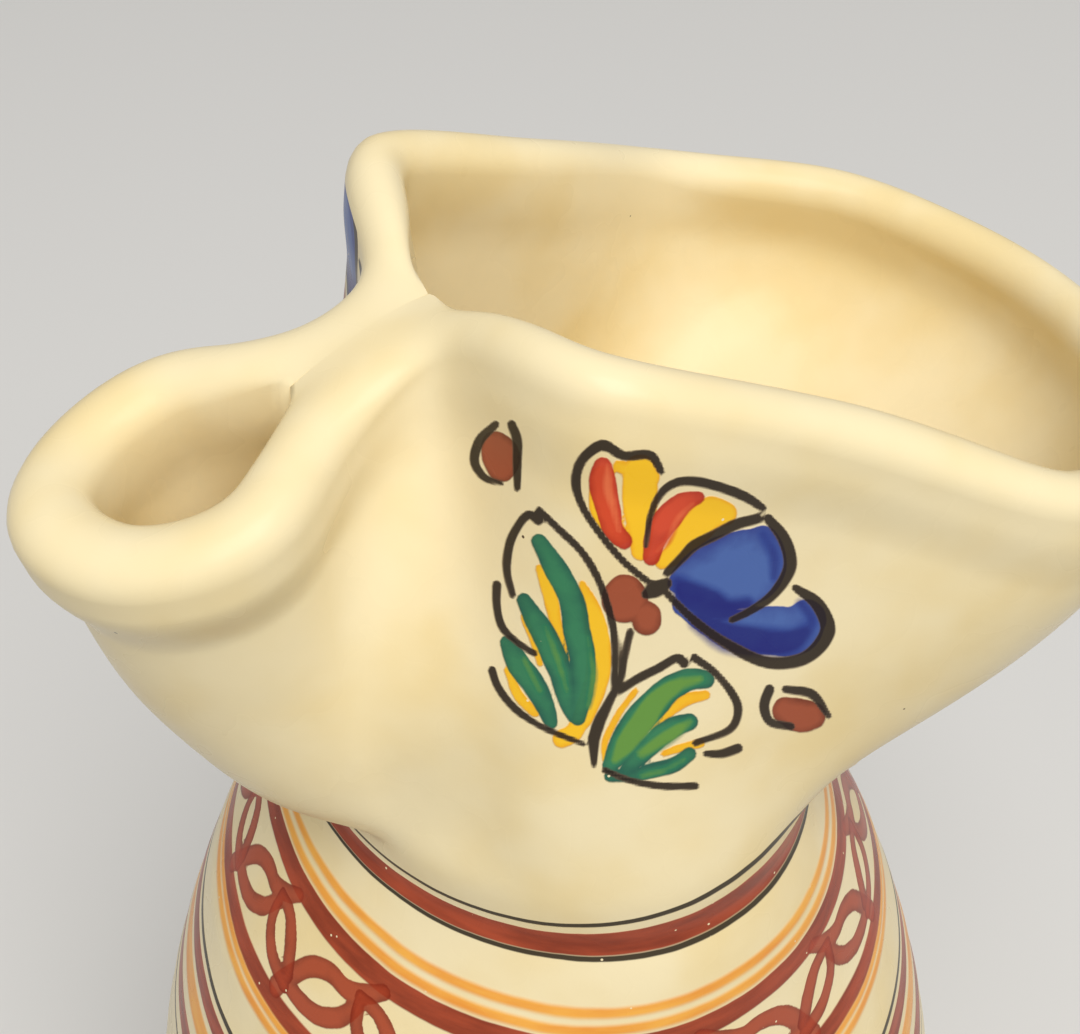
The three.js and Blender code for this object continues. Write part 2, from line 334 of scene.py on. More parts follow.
def grid_piece(name, loops, around, ends=()):
    """A mesh object from loops of points in millimetres, an array of (loop, point in the loop, xyz).

    Loops run round the piece. around joins the last loop's row of faces back to the first one.
    ends are the middle points that close the first and the last loop.
    """
    rows, columns, _ = loops.shape
    points = loops.reshape(-1, 3)
    row, column = np.meshgrid(np.arange(rows if around else rows - 1), np.arange(columns), indexing="ij")
    row, column = row.ravel(), column.ravel()
    next_row, next_column = (row + 1) % rows, (column + 1) % columns
    corners = np.stack(
        [
            row * columns + column,
            row * columns + next_column,
            next_row * columns + next_column,
            next_row * columns + column,
        ],
        axis=1,
    )
    # With ends, the first and the last share of the height are theirs.
    first, levels = (0, rows) if around else (1, rows + 1)
    across = np.stack([column, column + 1, column + 1, column], axis=1) / columns
    up = (np.stack([row, row, row + 1, row + 1], axis=1) + first) / levels
    faces = corners.tolist()
    flat = list(np.stack([across, up], axis=2).reshape(-1, 2))
    for end, middle in enumerate(ends):
        hub = len(points)
        points = np.vstack([points, middle])
        for k in range(columns):
            edge = [k, (k + 1) % columns] if end else [(k + 1) % columns, k]
            shares = [k, k + 1] if end else [k + 1, k]
            start = (rows - 1) * columns if end else 0
            faces.append([start + edge[0], start + edge[1], hub])
            level = rows / (rows + 1) if end else 1 / (rows + 1)
            flat.extend([(shares[0] / columns, level), (shares[1] / columns, level)])
            flat.append(((k + 0.5) / columns, float(end)))
    mesh = bpy.data.meshes.new(name)
    mesh.from_pydata(points * MM, [], faces)
    mesh.uv_layers.new(name="OFBake").data.foreach_set("uv", np.asarray(flat, np.float32).ravel())
    mesh.polygons.foreach_set("use_smooth", np.ones(len(mesh.polygons), bool))
    mesh.update()
    piece = bpy.data.objects.new(name, mesh)
    bpy.context.scene.collection.objects.link(piece)
    return piece


def mark(piece, name, values):
    """Stores one number per vertex for the material to read."""
    padded = np.full(len(piece.data.vertices), NOT_PAINTED, np.float32)
    padded[: values.size] = values.ravel()
    piece.data.attributes.new(name, "FLOAT", "POINT").data.foreach_set("value", padded)


def carry(piece, node):
    """The piece stands for a CAD node: it hangs from the root, and the node is hidden."""
    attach(piece, "root")
    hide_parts(node)


# Shape of the body


def body_outline(form):
    """The outside of the body from the base's edge up to the joint, as rows of (radius, height)."""
    foot_flare = 0.5
    foot_turn = 0.2
    belly_turn = 0.5
    belly_stay = 0.45
    lower = bezier(
        [
            (form.base_radius, form.base_edge),
            (mix(form.base_radius, form.belly_radius, foot_flare), form.belly_height * foot_turn),
            (form.belly_radius, form.belly_height * belly_turn),
            (form.belly_radius, form.belly_height),
        ],
        BELLY_STEPS,
    )
    upper = bezier(
        [
            (form.belly_radius, form.belly_height),
            (form.belly_radius, mix(form.belly_height, form.joint_height, belly_stay)),
            (form.shoulder_radius, form.joint_height - form.shoulder_drop),
            (form.neck_radius, form.joint_height),
        ],
        SHOULDER_STEPS,
    )
    return np.vstack([lower, upper[1:]])


def body_profile(form):
    """Rows of (radius, height) from the base over the outside and the neck down to the inner floor.

    Also returns which of the rows lie on the outside and which on the inside wall.
    """
    outline = body_outline(form)
    belt_top = form.joint_height - BELT_TOP
    belt_foot = form.joint_height - BELT_FOOT
    heights = np.concatenate(
        [
            np.linspace(form.base_edge, belt_foot, BODY_ROWS)[:-1],
            np.linspace(belt_foot, belt_top, BELT_ROWS)[:-1],
            np.linspace(belt_top, form.joint_height, SHOULDER_ROWS),
        ]
    )
    outside = np.stack([np.interp(heights, outline[:, 1], outline[:, 0]), heights], axis=1)
    turn = np.linspace(0, math.pi / 2, CORNER_ROWS)[:-1]
    edge = np.stack(
        [
            form.base_radius - form.base_edge + form.base_edge * np.sin(turn),
            form.base_edge - form.base_edge * np.cos(turn),
        ],
        axis=1,
    )
    spokes = np.linspace(HUB_RADIUS, form.base_radius - form.base_edge, CORNER_ROWS)[:-1]
    base = np.stack([spokes, np.zeros(len(spokes))], axis=1)
    along = np.gradient(outline, axis=0)
    along /= np.linalg.norm(along, axis=1, keepdims=True)
    hollow = outline + form.wall * np.stack([-along[:, 1], along[:, 0]], axis=1)
    corner = form.floor + form.wall
    depths = np.linspace(form.joint_height, corner, HOLLOW_ROWS)
    inside = np.stack([np.interp(depths, hollow[:, 1], hollow[:, 0]), depths], axis=1)
    inside[0] = (form.neck_radius - form.wall, form.joint_height)
    foot = inside[-1, 0]
    turn = np.linspace(0, math.pi / 2, CORNER_ROWS)[1:]
    bowl = np.stack(
        [foot - form.wall + form.wall * np.cos(turn), corner - form.wall * np.sin(turn)],
        axis=1,
    )
    spokes = np.linspace(bowl[-1, 0], HUB_RADIUS, CORNER_ROWS)[1:]
    inner_floor = np.stack([spokes, np.full(len(spokes), form.floor)], axis=1)
    rows = np.vstack([base, edge, outside, inside, bowl, inner_floor])
    first = len(base) + len(edge)
    last = first + len(outside)
    return rows, slice(first, last), slice(last, len(rows) - len(inner_floor))


def squeezed(form, points):
    """The round neck pressed in along the spout and out across it."""
    radius = np.maximum(np.hypot(points[..., 0], points[..., 1]), form.wall)
    fade = smoothstep(points[..., 2], form.joint_height - form.squeeze_depth, form.joint_height)
    shift = form.neck_squeeze * fade / radius
    moved = points.copy()
    moved[..., 0] *= 1 - shift
    moved[..., 1] *= 1 + shift
    return moved


def body_loops(form):
    """Loops of the body, with the faint spiral that throwing leaves, and which loops are outside."""
    # Depth and spacing of the throwing marks, how far the pot is out of round and how that drifts up it.
    outer_mark = 0.05
    outer_spacing = 8
    inner_mark = 0.22
    inner_spacing = 9
    out_of_round = 0.12
    drift = 40
    base_fade = 15
    profile, outside, inside = body_profile(form)
    turn = np.linspace(0, 2 * math.pi, BODY_COLUMNS, endpoint=False)
    radius, height = profile[:, :1], profile[:, 1:]
    spiral = np.zeros((len(profile), BODY_COLUMNS))
    fade = smoothstep(height, form.base_edge, form.base_edge + base_fade)
    fade = fade * (1 - smoothstep(height, form.joint_height - BELT_FOOT, form.joint_height - BELT_TOP))
    spiral[outside] = outer_mark * (np.sin(height * 2 * math.pi / outer_spacing + turn) * fade)[outside]
    spiral[inside] = inner_mark * (np.sin(height * 2 * math.pi / inner_spacing + turn) * fade)[inside]
    swing = radius + spiral + out_of_round * np.sin(2 * turn + height / drift) * fade
    loops = np.stack(
        [swing * np.cos(turn), swing * np.sin(turn), np.broadcast_to(height, swing.shape)], axis=2
    )
    return squeezed(form, loops), outside


# Shape of the collar


def rim_stations(form):
    """The crown of the rim from the tip of the spout to the back, on the near side.

    Each row holds reach forward of the axis, distance from the middle plane, rise above the neck, where
    the wall below starts on the neck in degrees from the front, swell of the wall, how far it swings out
    just above the neck, how far the pinch moved it, thickness of the rim, how far it is rolled out, and
    how far the two rims have fused.
    """
    spout = form.spout_width / 2
    wing = form.wing_width / 2
    mouth = form.mouth_width / 2
    pinch_play = 0.3
    pinch = form.rim_lip / 2 + pinch_play
    # Swell of the wall and how far it swings out just above the neck.
    spout_wall = (0.35, 0.34)
    pinch_wall = (0.1, 0.25)
    valley_wall = (0.1, 0.12)
    mouth_swell = 1.25
    flank_swell = mouth_swell * 0.6
    # How far along the stations between their neighbours stand, and how far down.
    flank = 0.5
    flank_fall = 0.45
    quarter_fall = 0.6
    spout_rim = (form.spout_lip, form.spout_roll, 0)
    fused_rim = (form.rim_lip, 0, 1)
    open_rim = (form.rim_lip, 0, 0)
    cheek_reach = mix(form.spout_middle, form.spout_reach, DIAGONAL)
    pinch_start_rise = mix(form.spout_side_rise, form.pinch_rise, 0.5)
    flank_reach = mix(form.wing_at, -form.mouth_widest_at, flank)
    flank_half = mix(wing, mouth, flank)
    flank_rise = mix(form.wing_rise, form.mouth_side_rise, flank_fall)
    quarter_reach = -mix(form.mouth_widest_at, form.back_reach, DIAGONAL)
    quarter_rise = mix(form.mouth_side_rise, form.back_rise, quarter_fall)
    return [
        (form.spout_reach, 0, form.spout_tip_rise, 0, *spout_wall, 0, *spout_rim),
        (cheek_reach, spout * DIAGONAL, form.spout_tip_rise, 10, *spout_wall, 0, *spout_rim),
        (form.spout_middle, spout, form.spout_side_rise, 20, *spout_wall, 0, *spout_rim),
        (form.pinch_start, pinch, pinch_start_rise, 30, *pinch_wall, spout - pinch, *fused_rim),
        (form.pinch_end, pinch, form.pinch_rise, 41, *valley_wall, wing - pinch, *fused_rim),
        (form.wing_at, wing, form.wing_rise, 62, 0, 0, 0, *open_rim),
        (flank_reach, flank_half, flank_rise, 104, flank_swell, 0, 0, *open_rim),
        (-form.mouth_widest_at, mouth, form.mouth_side_rise, 132, mouth_swell, 0, 0, *open_rim),
        (quarter_reach, mouth * DIAGONAL, quarter_rise, 157, mouth_swell, 0, 0, *open_rim),
        (-form.back_reach, 0, form.back_rise, 180, mouth_swell, 0, 0, *open_rim),
    ]


class CollarWall:
    """The collar's wall: points in its middle, the direction out of it, and its rim all round.

    around runs evenly along the crown, from 0 at the tip of the spout by the near side to 0.5 at the back.
    What the stations give is smoothed along the crown, so that none of them shows as a crease.
    """

    def __init__(self, form):
        self.form = form
        self.neck_height = form.joint_height + form.neck_band
        near = [(-1, *station) for station in rim_stations(form)]
        far = [(1, *station[1:]) for station in near[-2:0:-1]]
        rows = np.array(near + far, float)
        side, reach, half, rise, turn, swell, knee, pressed, lip, roll, fused = rows.T
        turn = np.radians(turn)
        curves = [
            np.stack([-reach, side * half, rise], axis=1),
            np.stack([-np.cos(turn), side * np.sin(turn)], axis=1),
            np.stack([swell, knee, side * pressed], axis=1),
            np.stack([lip, roll, fused], axis=1),
        ]
        shares = np.arange(CROWN_STEPS) / CROWN_STEPS
        table = np.hstack([curve_through(curve, shares, closed=True) for curve in curves])
        closed = np.vstack([table, table[:1]])
        run = np.concatenate([[0], np.cumsum(np.linalg.norm(np.diff(closed[:, :3], axis=0), axis=1))])
        marks = np.arange(len(side) + 1) / len(side)
        self.stations = np.interp(marks, np.append(shares, 1), run / run[-1])
        even = np.stack([np.interp(shares * run[-1], run, column) for column in closed.T], axis=1)
        waves = np.fft.rfftfreq(CROWN_STEPS, run[-1] / CROWN_STEPS)
        damping = np.exp(-2 * (math.pi * CROWN_SOFTNESS * waves) ** 2)[:, None]
        self.table = np.fft.irfft(np.fft.rfft(even, axis=0) * damping, CROWN_STEPS, axis=0)

    def read(self, around):
        """What the stations give at each column.

        Crown (x, y, rise), neck direction (x, y), swell, knee, press, lip, roll and fusing.
        """
        place = around % 1 * CROWN_STEPS
        first = place.astype(int)
        share = (place - first)[:, None]
        return mix(self.table[first % CROWN_STEPS], self.table[(first + 1) % CROWN_STEPS], share).T

    def middle(self, around, up):
        """Points in the middle of the wall. up is 0 at the neck and 1 at the rim."""
        form = self.form
        crown_x, crown_y, rise, neck_x, neck_y, swell, knee, pressed, _, _, _ = self.read(around)
        unit = np.hypot(neck_x, neck_y)
        neck_x = neck_x / unit * (form.neck_radius - form.neck_squeeze - form.wall / 2)
        neck_y = neck_y / unit * (form.neck_radius + form.neck_squeeze - form.wall / 2)
        # The wall leaves the straight neck in a soft curve rather than at a corner.
        ease = 0.035
        above = np.maximum(up, 0)
        eased = (above - ease * (1 - np.exp(-above / ease))) / (1 - ease)
        # Below the spout it swings out at once, like the bottom of a bowl.
        knee_run = 0.05
        out = mix(eased, 1 - np.exp(-eased / knee_run), knee) + swell * eased * (1 - eased)
        pinched = smoothstep(above * rise, rise - form.pinch_depth, rise)
        x = mix(neck_x, crown_x, out)
        y = mix(neck_y, crown_y + pressed, out) - pressed * pinched
        z = self.neck_height + np.where(up > 0, rise * up, up * form.neck_band)
        return np.stack([x, y, z], axis=1)

    def directions(self, around, up):
        """Unit directions up the wall and out of it."""
        round_step, up_step = 0.003, 0.02
        along = self.middle(around + round_step, up) - self.middle(around - round_step, up)
        rising = self.middle(around, np.minimum(up + up_step, 1)) - self.middle(around, up - up_step)
        rising /= np.linalg.norm(rising, axis=1, keepdims=True)
        out = np.cross(along, rising)
        out /= np.linalg.norm(out, axis=1, keepdims=True)
        return rising, out


def uneven(around, up):
    """How far finger pressure moved the wall, in millimetres. It fades towards the neck."""
    wave = 2 * math.pi * around
    press = sum(size * np.sin(count * wave + turn * up) for size, count, turn in FINGER_WAVES)
    return press * smoothstep(up, *HAND_REACH)


def collar_columns(wall):
    """How far round the crown each column of the collar's mesh stands."""
    counts = NEAR_COLUMNS + FAR_COLUMNS[::-1]
    spans = zip(wall.stations[:-1], wall.stations[1:], counts)
    return np.concatenate([np.linspace(*span, endpoint=False) for span in spans])


def fused_columns(form, wall, around):
    """How far the two rims have grown into one ridge at each column, and how far they have parted."""
    top = np.ones(len(around))
    lip, _, pinched = wall.read(around)[-3:]
    _, out = wall.directions(around, top)
    gap = np.abs((wall.middle(around, top) - out * lip[:, None] / 2)[:, 1])
    _, _, _, start, end = wall.stations[:5]
    towards_spout = np.minimum(around, 1 - around) < mix(start, end, 0.5)
    # Parted is 1 at the half gap at which the rims part. Columns that no pinch reached count as parted.
    parted = gap / np.where(towards_spout, form.spout_parting, form.mouth_parting)
    well_parted = 2
    pinch_takes = (0.02, 0.3)
    lets_go = (0.8, 1.05)
    parted += well_parted * (1 - smoothstep(pinched, *pinch_takes))
    return 1 - smoothstep(parted, *lets_go), parted


def collar_loops(form):
    """Loops of the collar, one for each height, and how many of them are outside."""
    wall = CollarWall(form)
    around = collar_columns(wall)
    fused, parted = fused_columns(form, wall, around)
    fused = fused[:, None]
    # The clay between the rims sinks where they part, and each rim gets its own crown back.
    web_sinks = (0.3, 1.1)
    web_drop = 1.2
    crown_returns = (0.2, 0.9)
    web = form.ridge_rise * (1 - web_drop * smoothstep(parted, *web_sinks))
    open_crown = smoothstep(parted, *crown_returns)
    _, _, rise, neck_x, neck_y, _, _, _, lip, roll, _ = wall.read(around)
    unit = np.hypot(neck_x, neck_y)
    neck_slope = (form.shoulder_radius - form.neck_radius) / form.shoulder_drop
    side = np.where(around < 0.5, -1, 1) * (around > 0)

    def place(up, over=None, inner=False):
        """One loop. over is the angle over the rim. Without it the loop is outside or inside the wall."""
        ups = np.full(len(around), up)
        share = smoothstep(ups * rise, rise - form.lip_depth, rise - form.lip_depth / 4)
        half = mix(form.wall, lip, share) / 2
        outer = half + roll * share
        rising, out = wall.directions(around, ups)
        points = wall.middle(around, ups) + out * uneven(around, ups)[:, None]
        if over is None:
            points += out * (-half if inner else outer)[:, None]
        else:
            start = points + out * outer[:, None]
            across = (outer + half) * (1 - math.cos(over)) / 2
            rounded = start - out * across[:, None] + rising * (half * math.sin(over))[:, None]
            crown = math.sin(over) if over < math.pi / 2 else math.sin(over) ** 2
            arch = half * open_crown * crown + web * math.sin(over / 2)
            ridge = start + rising * arch[:, None]
            ridge[:, 1] = start[:, 1] * math.cos(over / 2)
            points = mix(rounded, ridge, fused)
        if up < 0:
            edge = -form.wall if inner else 0
            ring = points.copy()
            ring[:, 0] = neck_x / unit * (form.neck_radius - form.neck_squeeze + edge)
            ring[:, 1] = neck_y / unit * (form.neck_radius + form.neck_squeeze + edge)
            points = mix(points, ring, -up)
            # The neck leaves the shoulder along its slope and then turns upright.
            waist = neck_slope * form.neck_band * (1 + up) * up**2
            points[:, 0] -= neck_x / unit * waist
            points[:, 1] -= neck_y / unit * waist
        if inner:
            closed = fused[:, 0] * (1 - smoothstep(rise * (1 - up), 0, form.pinch_depth / 2))
            points[:, 1] *= 1 - closed
        points[:, 1] = side * np.maximum(side * points[:, 1], SEAM_GAP if inner else 0)
        return points

    heights = np.concatenate([np.linspace(-1, 0, BAND_ROWS + 1)[:-1], np.linspace(0, 1, WALL_ROWS)])
    inner_wall = np.linspace(1, 0, INSIDE_ROWS - INNER_BAND_ROWS)
    depths = np.concatenate([inner_wall, np.linspace(0, -1, INNER_BAND_ROWS + 1)[1:]])
    turns = np.linspace(0, math.pi, RIM_ROWS + 1)[1:]
    outside = [place(up) for up in heights]
    over = [place(1.0, turn) for turn in turns]
    inside = [place(up, inner=True) for up in depths[1:]]
    loops = np.array(outside + over + inside)
    # The rim is softened as a whole, while its inner edge keeps its place beside the seam.
    inner_reach = (0.7, 1)
    seam_opens = (0.1, 1)
    outer_hold = smoothstep(heights, *HAND_REACH)
    level_hold = np.concatenate([outer_hold, np.ones(RIM_ROWS), smoothstep(depths[1:], *inner_reach)])
    side_hold = np.concatenate([outer_hold, (1 + np.cos(turns)) / 2, np.zeros(len(inside))])
    hold = np.stack([level_hold, side_hold, level_hold], axis=1)
    rim = loops[len(outside) - 1 : len(outside) + RIM_ROWS]
    joined = 1 - smoothstep(parted, *seam_opens)[:, None]
    for _ in range(SEAM_ROUNDS):
        round_seam(rim, joined)
        soften_valley(loops, hold, wall, around)
    round_neck(loops[: len(outside)])
    return loops, len(outside)


def half_way(before, here, after):
    """Half the way from each point to the middle of its two neighbours."""
    return (before + after - 2 * here) / 4


def soften_valley(loops, hold, wall, around):
    """Draws neighbouring columns together beside the pinch, where wet clay bridges the valley.

    hold is the share of the softening that each loop takes along x, y and z.
    """
    _, _, spout, start, end, wing, flank = wall.stations[:7]
    mirrored = np.minimum(around, 1 - around)
    # The softening grows from beside the spout to the pinch, and fades from the pinch to the wing.
    grows = (mix(spout, start, 0.3), mix(start, end, 0.8))
    fades = (mix(end, wing, 0.4), mix(wing, flank, 0.15))
    reach = smoothstep(mirrored, *grows) * (1 - smoothstep(mirrored, *fades))
    share = hold[:, None] * reach[:, None]
    for _ in range(VALLEY_PASSES):
        loops += share * half_way(np.roll(loops, 1, axis=1), loops, np.roll(loops, -1, axis=1))


def round_neck(outside):
    """Rounds the hollow where the wall leaves the neck band, up the wall."""
    row = np.arange(len(outside))
    grows = (1, BAND_ROWS)
    fades = (2 * BAND_ROWS, 5 * BAND_ROWS)
    share = smoothstep(row, *grows) * (1 - smoothstep(row, *fades))
    for _ in range(NECK_ROUNDS):
        step = half_way(outside[:-2], outside[1:-1], outside[2:])
        outside[1:-1] += share[1:-1, None, None] * step


def round_seam(rim, joined):
    """Rounds the fused ridge across the seam, beyond which the other side lies as in a mirror."""
    beyond = np.concatenate([rim[2:], rim[-2:-1]])
    step = joined * half_way(rim[:-1], rim[1:], beyond)
    rim[1:, :, 0] += step[..., 0]
    rim[1:, :, 2] += step[..., 2]


def sharpen(piece, columns, chosen):
    """Splits the shading along edges whose two ends are chosen points, given by loop and place in it."""
    ends = np.empty(2 * len(piece.data.edges), np.int32)
    piece.data.edges.foreach_get("vertices", ends)
    row, column = np.divmod(ends.reshape(-1, 2), columns)
    sharp = np.all(chosen(row, column), axis=1)
    piece.data.attributes.new("sharp_edge", "BOOLEAN", "EDGE").data.foreach_set("value", sharp)


# Shape of the handle


def handle_loops(form):
    """Loops of the strap, from inside the collar's wall to inside the shoulder's wall."""
    # Stations of the bow: share of the way out and share of the way up from the foot.
    bow = [(0.9, 0.96), (1, 0.68), (0.9, 0.36), (0.5, 0.13)]
    # The strap gets narrower towards its foot. Its ends spread over these millimetres, and by these shares.
    foot_taper = 0.82
    full_spread = 2.5
    spread_fade = 3.5
    spread_wide = 0.3
    spread_thick = 0.35
    side_fullness = 0.9
    groove_depth = 0.16
    groove_width = 3.2
    wall = CollarWall(form)
    top = (np.array([0.5]), np.array([form.handle_rise / form.back_rise]))
    start = wall.middle(*top)[0]
    outline = body_outline(form)
    foot = wall.neck_height - form.handle_drop
    end = np.array([np.interp(foot, outline[:, 1], outline[:, 0]) - form.wall / 2, 0, foot])
    far = start[0] + form.handle_standoff
    path = [start]
    path += [np.array([mix(end[0], far, out), 0, mix(end[2], start[2], up)]) for out, up in bow]
    path.append(end)
    fine = curve_through(path, np.linspace(0, 1, HANDLE_STEPS))
    run = np.concatenate([[0], np.cumsum(np.linalg.norm(np.diff(fine, axis=0), axis=1))])
    stops = np.linspace(0, run[-1], HANDLE_RINGS)
    centre = np.stack([np.interp(stops, run, fine[:, i]) for i in range(3)], axis=1)
    along = np.gradient(centre, axis=0)
    along /= np.linalg.norm(along, axis=1, keepdims=True)
    sideways = np.array([0.0, 1.0, 0.0])
    outward = np.cross(sideways, along)
    taper = mix(1, foot_taper, stops / run[-1])[:, None]
    # The ends spread where the wet strap was pressed onto the walls.
    ends = (stops, run[-1] - stops)
    from_top, from_foot = (np.exp(-np.maximum(away - full_spread, 0) / spread_fade) for away in ends)
    spread = (from_top + from_foot)[:, None]
    wide = taper * (1 + spread_wide * spread) * form.handle_width / 2
    thick = taper * (1 + spread_thick * spread) * form.handle_thickness / 2
    turn = np.linspace(0, 2 * math.pi, HANDLE_SIDES, endpoint=False)[None, :]
    across = wide * np.sign(np.cos(turn)) * np.abs(np.cos(turn)) ** side_fullness
    # A shallow groove runs down the outer face, where the thumb drew the strap.
    groove = 1 - groove_depth * np.exp(-((across / groove_width) ** 2)) * (np.sin(turn) > 0)
    depth = thick * np.sin(turn) * groove
    loops = centre[:, None] + across[..., None] * sideways + depth[..., None] * outward[:, None]
    # Each end leans with the wall that it is pressed onto, and stays inside it.
    rising, _ = wall.directions(*top)
    above, below = np.interp([foot + 1, foot - 1], outline[:, 1], outline[:, 0])
    lean = rising[0, 0] / rising[0, 2] * from_top + (above - below) / 2 * from_foot
    loops[..., 0] += lean[:, None] * (loops[..., 2] - centre[:, None, 2])
    return loops


# Painted decoration. Strokes are rows of (across, up, half width) stations in millimetres.

